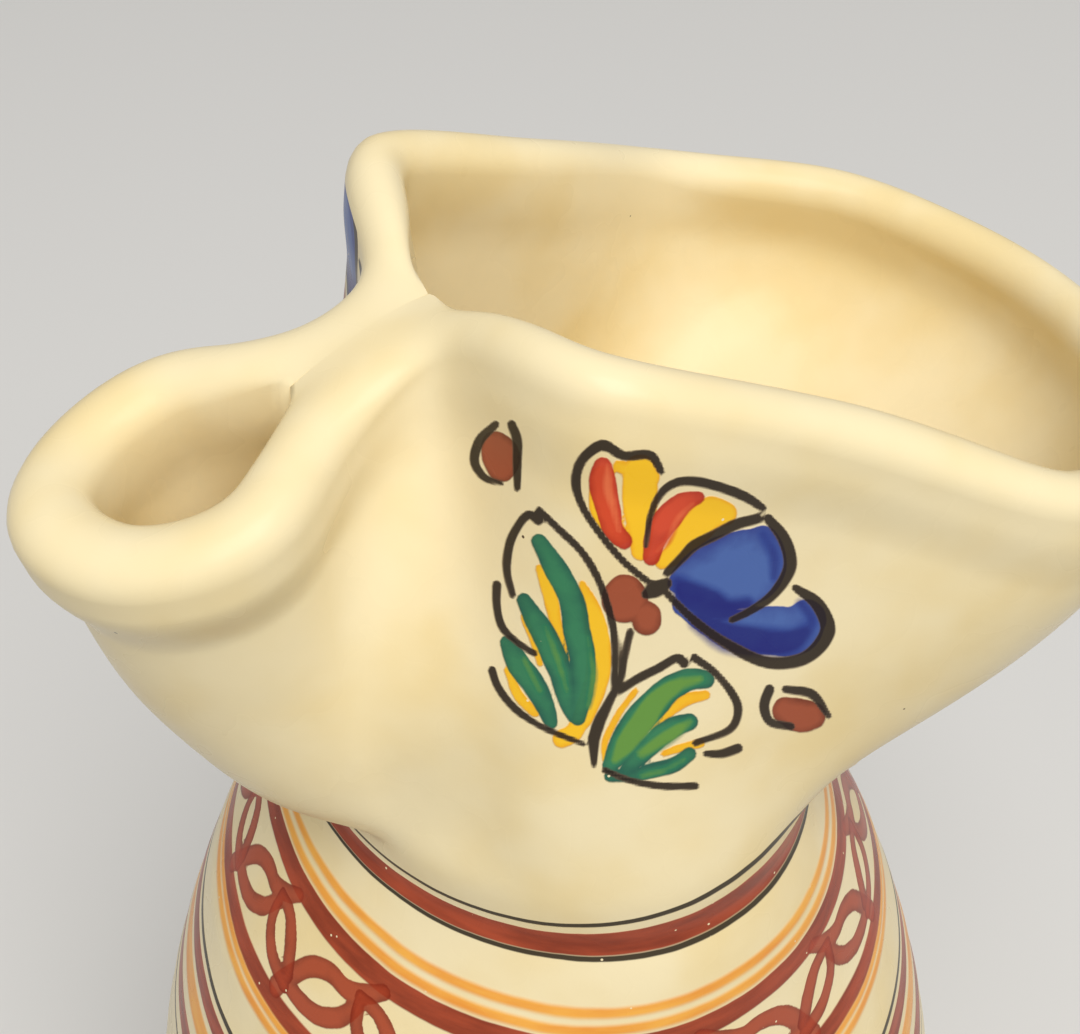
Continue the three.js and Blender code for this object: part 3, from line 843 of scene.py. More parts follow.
# The sprig is laid out on a sheet held square to the line of sight of the eye that looks down at the side
# of the collar, and is carried onto the wall along that line. Places are measured from the sprig's heart.
SHEET_DISTANCE = 150.0
SPRIG = {
    "yellow": [
        [(-2, 11, 1.6), (-2, 8.5, 1.7), (-2, 6, 1.3), (-2, 3.5, 0.9)],
        [(-4, 11.5, 0.6), (-1, 10.5, 0.9)],
        [(-5.5, 10.5, 1.1), (-5.5, 7.5, 1.2), (-4, 5, 0.9)],
        [(6, 7, 1.1), (4.5, 7, 1.6), (3, 5.5, 1.6), (1.5, 3.5, 1.2), (0, 2.5, 0.7)],
        [
            (-7.5, 0.5, 0.4), (-6.5, -2.5, 1.0), (-6, -5.5, 1.2), (-6, -7.5, 1.2),
            (-6.5, -9.5, 1.1), (-7.5, -12, 1.0),
        ],
        [(-7.5, -12, 0.8), (-8.5, -13.5, 0.9), (-9.5, -14, 0.9)],
        [(-11.5, 2, 0.4), (-10.5, -0.5, 0.7), (-10, -3, 0.6), (-9, -6.5, 0.4)],
        [(-13, -2.5, 0.3), (-12, -5, 0.4), (-11.5, -7, 0.3)],
        [(-14.5, -7.5, 0.4), (-13.5, -10, 0.5), (-12, -11.5, 0.5)],
        [(4, -10, 0.45), (2, -10.5, 0.6), (0, -12, 0.5), (-1, -13, 0.3)],
        [(3.5, -14.5, 0.45), (1.5, -15, 0.4), (0, -15.5, 0.3)],
        [(-2.5, -9.5, 0.3), (-4, -11.5, 0.35), (-5.5, -14.5, 0.35), (-5.5, -16, 0.3)],
    ],
    "green": [
        [
            (-11.5, 4.5, 0.75), (-10, 2, 1.1), (-8.5, -1, 1.2), (-8, -4, 1.3), (-7.5, -6.5, 1.25),
            (-7.5, -9, 1.1), (-8, -12, 0.8),
        ],
        [
            (-13, -1, 0.7), (-11.5, -3.5, 1.1), (-10.5, -5.5, 1.2), (-9.5, -8, 1.1),
            (-9, -10.5, 0.8), (-8.5, -12, 0.5),
        ],
        [(-14.5, -5, 0.75), (-13.5, -7, 1.1), (-12, -9, 1.1), (-11, -11, 0.9), (-10.5, -12.5, 0.65)],
        [
            (4, -8.5, 0.9), (2.5, -8.5, 1.05), (0.5, -9.5, 1.25), (-1, -11, 1.4),
            (-2.5, -12.5, 1.4), (-4, -15, 1.25), (-5, -16.5, 0.75),
        ],
        [(2.5, -12.5, 0.8), (1, -13, 1.0), (-0.5, -14, 1.0), (-2, -15.5, 0.9), (-3.5, -17, 0.6)],
        [(2.5, -15.5, 0.65), (1, -16.5, 0.75), (-1, -17, 0.75), (-3, -17.5, 0.6), (-5, -17.5, 0.6)],
    ],
    "green_light": [
        [(-7, -4.5, 0.2), (-6.5, -8, 0.4), (-7, -11, 0.3)],
        [(-11, -3.5, 0.3), (-10, -6, 0.4), (-9, -9.5, 0.3)],
        [(-13, -6.5, 0.3), (-11.5, -9.5, 0.4)],
        [
            (3.5, -8.5, 0.5), (1.5, -9, 0.8), (-0.5, -10.5, 1.1), (-2, -12.5, 1.2),
            (-3.5, -14.5, 1.0), (-4.5, -16, 0.5),
        ],
        [(2.5, -12.5, 0.5), (1, -13.5, 0.7), (-0.5, -14.5, 0.7), (-2, -15.5, 0.6)],
        [(2, -16, 0.3), (0, -17, 0.4), (-2, -17.5, 0.4)],
    ],
    "blue": [
        [(1.5, 0.5, 1.0), (3.5, 1, 2.4), (6, 1.5, 3.4), (8, 2, 3.5), (9, 3, 2.6), (9.5, 4.5, 1.4)],
        [(2, -1.5, 1.1), (4, -2.5, 1.6), (7, -4, 2.0), (10, -4, 2.3), (12.5, -4, 2.3), (13.5, -3, 1.9)],
    ],
    "blue_dark": [
        [(1.5, 0.5, 0.8), (2.5, -0.5, 1.4), (4.5, -1.5, 1.6), (6, -2, 1.2), (8, -1.5, 0.7)],
        [(9.5, 5, 0.5), (10.5, 3, 0.6), (10.5, 1, 0.4)],
        [(3.5, -3, 1.1), (6, -4.5, 1.5), (9, -5, 1.5), (12, -5, 1.3), (13.5, -4, 0.8)],
        [(13, -1.5, 0.5), (14, -3, 0.6), (13, -5, 0.5)],
    ],
    "red": [
        [(-5.5, 11.5, 0.9), (-5.5, 10, 1.3), (-5, 7.5, 1.15), (-4.5, 5.5, 1.0), (-3.5, 4.5, 0.8)],
        [(3.5, 8.5, 0.6), (2, 8, 1.0), (0.5, 6.5, 1.3), (-0.5, 5, 1.1), (-1, 3, 0.85)],
    ],
    "red_light": [
        [(-5, 11.5, 0.4), (-5, 9.5, 0.6), (-4.5, 7.5, 0.5), (-4, 5.5, 0.4)],
        [(3, 8, 0.3), (1.5, 6.5, 0.4), (0.5, 4.5, 0.4), (-0.5, 3.5, 0.3)],
    ],
    "brown": [
        [(-15.5, 13.5, 1.4), (-15, 12.5, 1.8), (-15, 11.5, 1.4)],
        [(-3.5, -0.5, 1.9), (-3.5, -1, 2.2)],
        [(-1.5, -2.5, 1.4), (-1.5, -3, 1.4)],
        [(11.5, -11.5, 1.3), (13, -12, 1.6), (14, -12, 1.3)],
    ],
    "ink": [
        [(-15.5, 15.5, 0.4), (-17, 14, 0.5), (-17.5, 12, 0.45), (-16.5, 10.5, 0.4), (-15, 10, 0.3)],
        [(-14, 15.5, 0.45), (-13.5, 14, 0.5), (-13.5, 12, 0.45), (-13.5, 9.5, 0.35)],
        [
            (0, 11, 0.4), (-1, 12.5, 0.5), (-3.5, 12.5, 0.5), (-5.5, 13.5, 0.55), (-7.5, 12, 0.5),
            (-8, 10, 0.5), (-7.5, 8, 0.4), (-6, 5.5, 0.4), (-3.5, 2.5, 0.4), (-1, 0.5, 0.4),
            (0, 0, 0.4),
        ],
        [
            (-1.5, 4, 0.3), (-1, 7, 0.35), (0, 9, 0.4), (1.5, 10, 0.45), (3.5, 10, 0.5),
            (5.5, 9.5, 0.5), (8, 8.5, 0.5), (9.5, 7.5, 0.4),
        ],
        [(9, 6.5, 0.5), (7, 6, 0.55), (5, 5, 0.55), (3, 4, 0.55), (2, 3, 0.5), (0.5, 1.5, 0.45)],
        [
            (10, 6.5, 0.5), (11.5, 4.5, 0.65), (12, 2, 0.65), (10.5, -0.5, 0.5), (8.5, -2, 0.4),
            (6.5, -3, 0.35),
        ],
        [
            (12.5, 0, 0.4), (14.5, -1.5, 0.65), (15.5, -4, 0.75), (13.5, -6.5, 0.65), (10, -7, 0.6),
            (6.5, -5.5, 0.55), (3, -3, 0.45), (0, 0, 0.4),
        ],
        [(-1.5, -0.5, 0.5), (-0.5, 0, 0.8), (0.5, 0.5, 0.5)],
        [
            (-3, -4, 0.4), (-3.5, -6, 0.4), (-4, -8.5, 0.4), (-5, -10.5, 0.45), (-6, -12.5, 0.6),
            (-6.5, -14, 0.6),
        ],
        [(-6.5, -14, 0.6), (-6.5, -16.5, 0.3)],
        [
            (-11.5, 7.5, 0.35), (-10, 6, 0.4), (-7.5, 3.5, 0.4), (-6, 1, 0.4), (-5, -2, 0.4),
            (-4.5, -4.5, 0.4), (-4.5, -9, 0.4),
        ],
        [
            (-11.5, 6.5, 0.5), (-12.5, 7, 0.45), (-14, 5, 0.45), (-14.5, 3, 0.45),
            (-14.5, 1.5, 0.4), (-14, -0.5, 0.35),
        ],
        [(-15.5, 0.5, 0.45), (-15.5, -1.5, 0.4), (-15, -3.5, 0.4), (-13.5, -5, 0.35), (-12, -6, 0.35)],
        [
            (-16, -7.5, 0.4), (-15.5, -9, 0.4), (-14, -11, 0.4), (-12, -12.5, 0.35),
            (-10, -13.5, 0.35), (-7.5, -14.5, 0.3),
        ],
        [(2, -7, 0.5), (1.5, -6.5, 0.45), (-0.5, -7.5, 0.45), (-2.5, -8.5, 0.45), (-4, -9.5, 0.4)],
        [(3, -6.5, 0.45), (5, -8, 0.4), (7, -11, 0.45), (6.5, -13, 0.4), (3, -14.5, 0.35)],
        [(7, -15, 0.5), (5.5, -15.5, 0.45), (4, -15.5, 0.35)],
        [(3, -18.5, 0.4), (0, -18.5, 0.4), (-3, -18, 0.35), (-5.5, -17, 0.35)],
        [(10, -9.5, 0.5), (9.5, -11, 0.5), (10, -12.5, 0.45), (12, -13, 0.4)],
        [(11.5, -9.5, 0.4), (14, -10, 0.5), (15.5, -12, 0.35)],
    ],
}

# Where the sprig's heart stands on the sheet, and where and how far turned it stands on the far side.
SPRIG_HEART = (11.4, -6.8)
FAR_HEART = (-0.5, 3.0)
FAR_TURN = math.radians(55)

# One repeat of the scroll round the shoulder: along the ring, down from the band above, half width. The
# repeats run from the far side both ways round to the middle of the near side.
SCROLL_REPEATS = 14
SCROLL_LENGTH = 17.5
SCROLL_MIDDLE = math.radians(252.8)
SCROLL_TOP = 13.5
SCROLL = {
    "scroll_loop": [
        [
            (-7, 10.5, 1.2), (-5.5, 7.5, 1.2), (-3, 4, 1.2), (0, 2.5, 1.2), (3, 2.5, 1.2),
            (6, 1, 1.1), (8, -0.5, 0.9),
        ],
        [(-5.5, 8.5, 1.1), (-3, 8.5, 1.2), (0, 8, 1.2), (3, 6, 1.1), (5, 3, 0.9)],
    ],
    "scroll_leaf": [
        [(5, 2.5, 0.8), (5.5, 5.5, 1.0), (8, 8, 1.1), (11.5, 9, 1.1)],
        [(5, 2, 0.8), (8, 2.5, 1.1), (10, 4.5, 1.2), (11.5, 7.5, 1.1)],
    ],
}

# Bands drawn on the turning pot: middle and width in millimetres down the wall, paint and its softness.
BANDS = [
    (-6.0, 0.8, "line", 0.1),
    (-2.3, 3.8, "brown", 0.15),
    (0.0, 0.7, "line", 0.1),
    (6.9, 1.4, "ochre", 0.4),
    (9.3, 1.4, "ochre", 0.4),
    (11.9, 3.1, "brown", 0.15),
    (25.4, 2.7, "brown", 0.2),
    (27.2, 1.0, "ochre", 0.3),
    (28.7, 1.3, "ochre", 0.4),
    (36.5, 0.9, "line", 0.12),
    (39.6, 3.2, "brown", 0.15),
    (44.3, 3.6, "ochre", 0.4),
    (50.5, 3.8, "brown", 0.15),
    (55.0, 0.7, "line", 0.12),
    (118.0, 3.0, "brown", 0.2),
    (122.0, 0.8, "line", 0.12),
]

# The line at the neck and the line above it: height in millimetres and slope along +X. The upper one runs
# level from a little behind the axis. The bands below them lean towards one side of the pot, fully on the
# shoulder, and less and less on the belly.
NECK_LINE = (149.0, 0.03)
TOP_LINE = (155.5, 0.146)
TOP_LEVEL_FROM = 11
BAND_LEAN = math.radians(8)
BAND_LOW_SIDE = math.radians(290)
LEAN_START = 9
LEAN_FADE = (60, 110)
LEAN_ROUNDS = 30

# Discs that each station of a stroke is drawn with, and how far round a stroke its depth is worked out.
DISCS_PER_STATION = 20
STROKE_MARGIN = 4


def stroke_depth(across, up, strokes):
    """How deep inside the strokes each point lies, in millimetres near their edges. Negative outside."""
    depth = np.full(across.shape, NOT_PAINTED)
    for stroke in strokes:
        discs = curve_through(stroke, np.linspace(0, 1, DISCS_PER_STATION * len(stroke)))
        low = discs[:, :2].min(axis=0) - STROKE_MARGIN
        high = discs[:, :2].max(axis=0) + STROKE_MARGIN
        near = (across > low[0]) & (across < high[0]) & (up > low[1]) & (up < high[1])
        x, y = across[near], up[near]
        best = depth[near]
        for middle_x, middle_y, half in discs:
            away = (x - middle_x) ** 2 + (y - middle_y) ** 2
            best = np.maximum(best, (half**2 - away) / (2 * half))
        depth[near] = best
    return depth


def band_place(points):
    """How far down from the line at the neck each point lies, as the leaning bands were drawn."""
    x, y, z = points[..., 0], points[..., 1], points[..., 2]
    line = NECK_LINE[0] + NECK_LINE[1] * x
    top_line = TOP_LINE[0] + TOP_LINE[1] * np.minimum(x, TOP_LEVEL_FROM)
    drop = line - z
    swing = np.hypot(x, y) * (1 - np.cos(np.arctan2(y, x) - BAND_LOW_SIDE))
    down = np.maximum(drop, 0)
    for _ in range(LEAN_ROUNDS):
        lean = BAND_LEAN * (1 - np.exp(-down / LEAN_START)) * (1 - smoothstep(down, *LEAN_FADE))
        down = np.maximum(drop, 0) + swing * np.tan(lean)
    return np.where(drop > 0, down, -BANDS[0][0] * drop / (top_line - line))


def paint_scroll(piece, loops, outside):
    """Marks how deep each outside point of the body lies in the scroll's strokes."""
    points = loops[outside]
    turn = np.arctan2(points[..., 1], points[..., 0]) - SCROLL_MIDDLE
    from_middle = np.abs((turn + math.pi) % (2 * math.pi) - math.pi)
    pitch = 2 * math.pi / SCROLL_REPEATS
    along = ((0.5 - from_middle / pitch) % 1 - 0.5) * SCROLL_LENGTH
    down = band_place(points) - SCROLL_TOP
    for name, strokes in SCROLL.items():
        depth = np.full(loops.shape[:2], NOT_PAINTED)
        here = stroke_depth(along, down, strokes)
        before = stroke_depth(along + SCROLL_LENGTH, down, strokes)
        after = stroke_depth(along - SCROLL_LENGTH, down, strokes)
        depth[outside] = np.maximum(here, np.maximum(before, after))
        mark(piece, name, depth)


def sprig_sheet(points, far):
    """Where each point lies on the sprig's sheet, across and up, seen from the near or the far side."""
    forward = np.array(
        [
            math.sin(EYE_HEADING) * math.cos(EYE_TILT),
            math.cos(EYE_HEADING) * math.cos(EYE_TILT),
            -math.sin(EYE_TILT),
        ]
    )
    across = np.array([math.cos(EYE_HEADING), -math.sin(EYE_HEADING), 0.0])
    seen = points * (1, -1 if far else 1, 1) - EYE_PLACE
    scale = SHEET_DISTANCE / (seen @ forward)
    return seen @ across * scale, seen @ np.cross(across, forward) * scale


def paint_sprig(piece, loops, outside_count, wall):
    """Marks how deep each outside point of the collar lies in the strokes of the sprig on its side."""
    around = collar_columns(wall)
    mirrored = np.minimum(around, 1 - around)
    # The sprig lies between the pinch and the widest part of the mouth.
    pinch, widest = wall.stations[3], wall.stations[7]
    side_wall = (mirrored > pinch) & (mirrored < widest)
    points = loops[:outside_count]
    across, up = sprig_sheet(points, far=False)
    near_place = (across - SPRIG_HEART[0], up - SPRIG_HEART[1])
    across, up = sprig_sheet(points, far=True)
    across, up = FAR_HEART[0] - across, up - FAR_HEART[1]
    far_place = (
        math.cos(FAR_TURN) * across + math.sin(FAR_TURN) * up,
        math.cos(FAR_TURN) * up - math.sin(FAR_TURN) * across,
    )
    for name, strokes in SPRIG.items():
        depth = np.full(loops.shape[:2], NOT_PAINTED)
        near = stroke_depth(*near_place, strokes)
        far = stroke_depth(*far_place, strokes)
        nearest = np.where(points[..., 1] < 0, near, far)
        depth[:outside_count] = np.where(side_wall, nearest, NOT_PAINTED)
        mark(piece, name, depth)


# Materials

# Sockets of a node that mixes, and settings that several nodes share.
MIX_FACTOR, MIX_A, MIX_B, MIX_RESULT = 0, 6, 7, 2
COLOURS = {"output": MIX_RESULT, "data_type": "RGBA"}
SMOOTH = {"interpolation_type": "SMOOTHSTEP"}
FALLING = {"To Min": 1.0, "To Max": 0.0}


def per_metre(millimetres):
    """Texture scale at which one feature is that size."""
    return 1000 / millimetres


def add(tree, kind, links, output=0, **settings):
    """Adds a node, sets its properties and feeds its inputs from values or from other nodes' outputs.

    Returns the output that is asked for, or nothing for a node that has none.
    """
    node = tree.nodes.new("ShaderNode" + kind)
    for name, value in settings.items():
        setattr(node, name, value)
    for name, source in links.items():
        if isinstance(source, bpy.types.NodeSocket):
            tree.links.new(source, node.inputs[name])
        else:
            node.inputs[name].default_value = source
    return node.outputs[output] if node.outputs else None


def opaque(rgb):
    return (*rgb, 1.0)


def glaze_nodes(tree, place, paint):
    """Cream glaze, a little warmer where it lies thick. Returns its colour."""
    clouds = add(tree, "TexNoise", {"Vector": place, "Scale": per_metre(22), "Detail": 3.0})
    thick = add(tree, "MapRange", {"Value": clouds, "From Min": 0.42, "From Max": 0.72}, **SMOOTH)
    glazes = {MIX_A: opaque(paint.glaze), MIX_B: opaque(paint.glaze_thick)}
    return add(tree, "Mix", {MIX_FACTOR: thick, **glazes}, **COLOURS)


def speck_nodes(tree, place, spacing, radius, share):
    """Round specks in a share of the places. Spacing and radius are in millimetres. Returns their mask."""
    core = 0.7
    cells = add(tree, "TexVoronoi", {"Vector": place, "Scale": per_metre(spacing)}).node
    edge = {"From Min": core * radius / spacing, "From Max": radius / spacing}
    dot = add(tree, "MapRange", {"Value": cells.outputs["Distance"], **edge, **FALLING})
    chance = add(tree, "SeparateColor", {"Color": cells.outputs["Color"]}, "Red")
    chosen = add(tree, "Math", {0: chance, 1: share}, operation="LESS_THAN")
    return add(tree, "Math", {0: dot, 1: chosen}, operation="MULTIPLY")


def band_nodes(tree, place, ground, paint, bands):
    """Bands drawn with a brush held against the turning pot. Returns the colour and the painted mask."""
    band = add(tree, "Attribute", {}, "Fac", attribute_name="band")
    # The hand sways by up to half a millimetre.
    sway = add(tree, "TexNoise", {"Vector": place, "Scale": per_metre(14), "Detail": 4.0})
    shift = add(tree, "MapRange", {"Value": sway, "To Min": -0.45, "To Max": 0.45})
    drawn = add(tree, "Math", {0: band, 1: shift}, operation="ADD")
    # Bristle marks run round the pot: the noise is squeezed six times along the axis.
    stretch = add(tree, "Mapping", {"Vector": place, "Scale": (1.0, 1.0, 6.0)})
    bristle = add(tree, "TexNoise", {"Vector": stretch, "Scale": per_metre(9), "Detail": 4.0})
    tone = add(tree, "MapRange", {"Value": bristle, "From Min": 0.35, "From Max": 0.65})
    # Colour where the brush left more, colour where it left less, and how well the paint covers.
    kinds = {
        "line": (paint.line, paint.line, 0.96),
        "brown": (paint.brown_deep, paint.brown, 0.97),
        "ochre": (paint.ochre_deep, paint.ochre, 0.92),
    }
    covered = 0.0
    for middle, width, kind, soft in bands:
        deep, light, strength = kinds[kind]
        away = add(tree, "Math", {0: drawn, 1: middle}, operation="SUBTRACT")
        size = add(tree, "Math", {0: away}, operation="ABSOLUTE")
        edge = {"From Min": width / 2 - soft, "From Max": width / 2 + soft}
        mask = add(tree, "MapRange", {"Value": size, **edge, "To Min": strength, "To Max": 0.0}, **SMOOTH)
        stain = add(tree, "Mix", {MIX_FACTOR: tone, MIX_A: opaque(deep), MIX_B: opaque(light)}, **COLOURS)
        ground = add(tree, "Mix", {MIX_FACTOR: mask, MIX_A: ground, MIX_B: stain}, **COLOURS)
        covered = add(tree, "Math", {0: covered, 1: mask}, operation="MAXIMUM")
    return ground, covered


def stroke_nodes(tree, place, ground, covered, name, deep, light, full, strength, soft=0.1, fray=0.12):
    """One colour of brush strokes, darker where the paint pools at their edges.

    full is the depth in millimetres at which the stroke has its light colour, strength how well it covers,
    soft the width of its edge and fray how far the hairs of the brush stray from it. Returns the colour and
    the painted mask.
    """
    depth = add(tree, "Attribute", {}, "Fac", attribute_name=name)
    hair = add(tree, "TexNoise", {"Vector": place, "Scale": per_metre(1.6), "Detail": 3.0})
    stray = add(tree, "MapRange", {"Value": hair, "To Min": -fray, "To Max": fray})
    edge = add(tree, "Math", {0: depth, 1: stray}, operation="ADD")
    rise = {"From Min": -soft, "From Max": soft, "To Max": strength}
    mask = add(tree, "MapRange", {"Value": edge, **rise}, **SMOOTH)
    wash = add(tree, "TexNoise", {"Vector": place, "Scale": per_metre(3.5), "Detail": 3.0})
    pool = add(tree, "MapRange", {"Value": wash, "To Min": -full, "To Max": full})
    mottled = add(tree, "Math", {0: depth, 1: pool}, operation="ADD")
    tone = add(tree, "MapRange", {"Value": mottled, "From Max": full})
    stain = add(tree, "Mix", {MIX_FACTOR: tone, MIX_A: opaque(deep), MIX_B: opaque(light)}, **COLOURS)
    laid = add(tree, "Mix", {MIX_FACTOR: mask, MIX_A: ground, MIX_B: stain}, **COLOURS)
    return laid, add(tree, "Math", {0: covered, 1: mask}, operation="MAXIMUM")


def finish_nodes(tree, place, ground, covered, paint):
    """The gloss over everything: specks in the glaze, pale dots in the paint that are pinholes and also
    painted glints, a faint orange peel.
    """
    dark = speck_nodes(tree, place, spacing=7.0, radius=0.2, share=0.35)
    specked = add(tree, "Mix", {MIX_FACTOR: dark, MIX_A: ground, MIX_B: opaque(paint.speck)}, **COLOURS)
    # Pale glaze-coloured dots on the paint: pinholes where the glaze shows through, and painted highlights
    # that stand in for the glints light makes on them.
    pinholes_and_glints = speck_nodes(tree, place, spacing=1.9, radius=0.16, share=0.3)
    shown = add(tree, "Math", {0: pinholes_and_glints, 1: covered}, operation="MULTIPLY")
    with_pinholes_and_glints = add(tree, "Mix", {MIX_FACTOR: shown, MIX_A: specked, MIX_B: opaque(paint.glaze)}, **COLOURS)
    peel = add(tree, "TexNoise", {"Vector": place, "Scale": per_metre(1.4), "Detail": 2.0})
    swell = add(tree, "TexNoise", {"Vector": place, "Scale": per_metre(9), "Detail": 2.0})
    # How far in millimetres the orange peel, the waves of the thrown wall and the paint stand proud.
    peel_height = 0.015
    wall_waves = 0.12
    paint_height = 0.05
    height = add(tree, "Math", {0: peel, 1: peel_height}, operation="MULTIPLY")
    waved = add(tree, "Math", {0: swell, 1: wall_waves, 2: height}, operation="MULTIPLY_ADD")
    raised = add(tree, "Math", {0: covered, 1: paint_height, 2: waved}, operation="MULTIPLY_ADD")
    bump = add(tree, "Bump", {"Strength": 1.0, "Distance": MM, "Height": raised})
    gloss = add(tree, "MapRange", {"Value": swell, "To Min": 0.2, "To Max": 0.36})
    shine = {"Roughness": gloss, "IOR": 1.5, "Specular IOR Level": 0.14, "Normal": bump}
    shader = add(tree, "BsdfPrincipled", {"Base Color": with_pinholes_and_glints, **shine})
    add(tree, "OutputMaterial", {"Surface": shader})


def new_tree(name):
    """An empty node material and the object coordinates that its patterns follow."""
    material = bpy.data.materials.new(name)
    material.use_nodes = True
    tree = material.node_tree
    tree.nodes.clear()
    return material, tree, add(tree, "TexCoord", {}, "Object")


def banded_earthenware(paint):
    """Tin-glazed earthenware, banded and scrolled in iron brown and ochre on the wheel.

    The opaque cream glaze hides the clay and shines softly; the thin brown stain shows brush marks, goes
    darker where two strokes overlap, and the underside of the base is wiped back to bare clay.
    """
    material, tree, place = new_tree("banded_tin_glazed_earthenware")
    ground = glaze_nodes(tree, place, paint)
    ground, covered = band_nodes(tree, place, ground, paint, BANDS)
    for name in SCROLL:
        ground, covered = stroke_nodes(
            tree, place, ground, covered, name, paint.brown_deep, paint.brown, full=0.5, strength=0.95
        )
    height = add(tree, "SeparateXYZ", {"Vector": place}, "Z")
    wiped = {"From Min": 0.4 * MM, "From Max": 0.9 * MM}
    bare = add(tree, "MapRange", {"Value": height, **wiped, **FALLING})
    ground = add(tree, "Mix", {MIX_FACTOR: bare, MIX_A: ground, MIX_B: opaque(paint.clay)}, **COLOURS)
    finish_nodes(tree, place, ground, covered, paint)
    return material


def sprigged_earthenware(paint):
    """Tin-glazed earthenware with a sprig painted in oxides under the gloss.

    Each colour pools darker at the edge of its stroke and shows streaks inside it; thin ink runs pale.
    """
    material, tree, place = new_tree("sprigged_tin_glazed_earthenware")
    ground = glaze_nodes(tree, place, paint)
    ground, covered = band_nodes(tree, place, ground, paint, BANDS[:3])
    # Strokes, deep and light colour, full depth, strength, softness and, for the ink, its fray.
    layers = [
        ("yellow", paint.yellow_deep, paint.yellow, 0.3, 0.97, 0.1),
        ("green", paint.green_deep, paint.green, 0.55, 0.98, 0.1),
        ("green_light", paint.green, paint.green_light, 0.3, 0.85, 0.3),
        ("blue", paint.blue_deep, paint.blue, 1.2, 0.98, 0.1),
        ("blue_dark", paint.blue_deep, paint.blue_dark, 0.4, 0.85, 0.5),
        ("red", paint.red_deep, paint.red, 0.5, 0.98, 0.1),
        ("red_light", paint.red, paint.red_light, 0.3, 0.75, 0.3),
        ("brown", paint.bud_deep, paint.bud, 0.5, 0.97, 0.1),
        ("ink", paint.ink_thin, paint.ink, 0.12, 0.97, 0.1, 0.05),
    ]
    for layer in layers:
        ground, covered = stroke_nodes(tree, place, ground, covered, *layer)
    finish_nodes(tree, place, ground, covered, paint)
    return material


def plain_earthenware(paint):
    """Tin-glazed earthenware left unpainted: the cream glaze alone, thicker and thinner in clouds."""
    material, tree, place = new_tree("plain_tin_glazed_earthenware")
    ground = glaze_nodes(tree, place, paint)
    finish_nodes(tree, place, ground, 0.0, paint)
    return material


# Stage: sizes and places in metres, and the width of the camera's sensor in millimetres. Both lights face
# the collar.
LIT_PLACE = (0.0, 0.0, 0.18)
KEY_SIZE = 1.6
KEY_PLACE = (-0.2, -1.2, 2.05)
FILL_SIZE = 0.8
FILL_PLACE = (-0.8, -0.6, 0.5)
FLOOR_REACH = 4.0
BACKDROP_STRENGTH = 0.7
SENSOR_WIDTH = 36.0
NEAREST_SEEN = 0.01


def soft_light(name, power, size, place, target):
    """A square soft light that faces a target."""
    data = bpy.data.lights.new(name, "AREA")
    data.energy = power
    data.size = size
    light = bpy.data.objects.new(name, data)
    light.location = place
    light.rotation_euler = (Vector(target) - Vector(place)).to_track_quat("-Z", "Y").to_euler()
    bpy.context.scene.collection.objects.link(light)


def seen_rays(tree):
    """1 for what the camera sees, straight, in a reflection or through glass, and 0 for scattered light."""
    rays = add(tree, "LightPath", {}).node.outputs
    mirrored = {0: rays["Is Glossy Ray"], 1: rays["Is Transmission Ray"]}
    mirror = add(tree, "Math", mirrored, operation="MAXIMUM")
    return add(tree, "Math", {0: rays["Is Camera Ray"], 1: mirror}, operation="MAXIMUM")


def studio_floor(stage):
    """A wide pale floor under the pot."""
    corners = [(x * FLOOR_REACH, y * FLOOR_REACH, 0) for x, y in ((-1, -1), (1, -1), (1, 1), (-1, 1))]
    mesh = bpy.data.meshes.new("studio_floor")
    mesh.from_pydata(corners, [], [range(len(corners))])
    floor = bpy.data.objects.new("studio_floor", mesh)
    bpy.context.scene.collection.objects.link(floor)
    material = bpy.data.materials.new("matt_studio_paper")
    material.use_nodes = True
    tree = material.node_tree
    seen = seen_rays(tree)
    # Light that the floor throws back up at the pot is dimmer than the floor looks.
    papers = {MIX_A: opaque(stage.floor_bounce), MIX_B: opaque(stage.floor)}
    tone = add(tree, "Mix", {MIX_FACTOR: seen, **papers}, **COLOURS)
    shader = tree.nodes["Principled BSDF"]
    tree.links.new(tone, shader.inputs["Base Color"])
    shader.inputs["Roughness"].default_value = 0.9
    shader.inputs["Specular IOR Level"].default_value = 0.2
    mesh.materials.append(material)


def studio_air(stage):
    """Even light from all round. The camera and reflections see the pale backdrop colour instead."""
    world = bpy.data.worlds.new("studio_air")
    bpy.context.scene.world = world
    world.use_nodes = True
    tree = world.node_tree
    tree.nodes.clear()
    seen = seen_rays(tree)
    white = (1.0, 1.0, 1.0, 1.0)
    light = add(tree, "Background", {"Color": white, "Strength": stage.ambient})
    backdrop = add(tree, "Background", {"Color": opaque(stage.floor), "Strength": BACKDROP_STRENGTH})
    both = add(tree, "MixShader", {0: seen, 1: light, 2: backdrop})
    add(tree, "OutputWorld", {"Surface": both})


def studio_camera(stage):
    """The camera above the spout, looking down at the collar."""
    data = bpy.data.cameras.new("studio_camera")
    data.sensor_width = SENSOR_WIDTH
    data.sensor_fit = "HORIZONTAL"
    data.lens = stage.camera_lens
    data.clip_start = NEAREST_SEEN
    camera = bpy.data.objects.new("studio_camera", data)
    heading = Matrix.Rotation(-stage.camera_heading, 4, "Z")
    tilt = Matrix.Rotation(math.pi / 2 - stage.camera_tilt, 4, "X")
    roll = Matrix.Rotation(stage.camera_roll, 4, "Z")
    camera.matrix_world = Matrix.Translation(stage.camera_place) @ heading @ tilt @ roll
    bpy.context.scene.collection.objects.link(camera)
    bpy.context.scene.camera = camera


# Operators


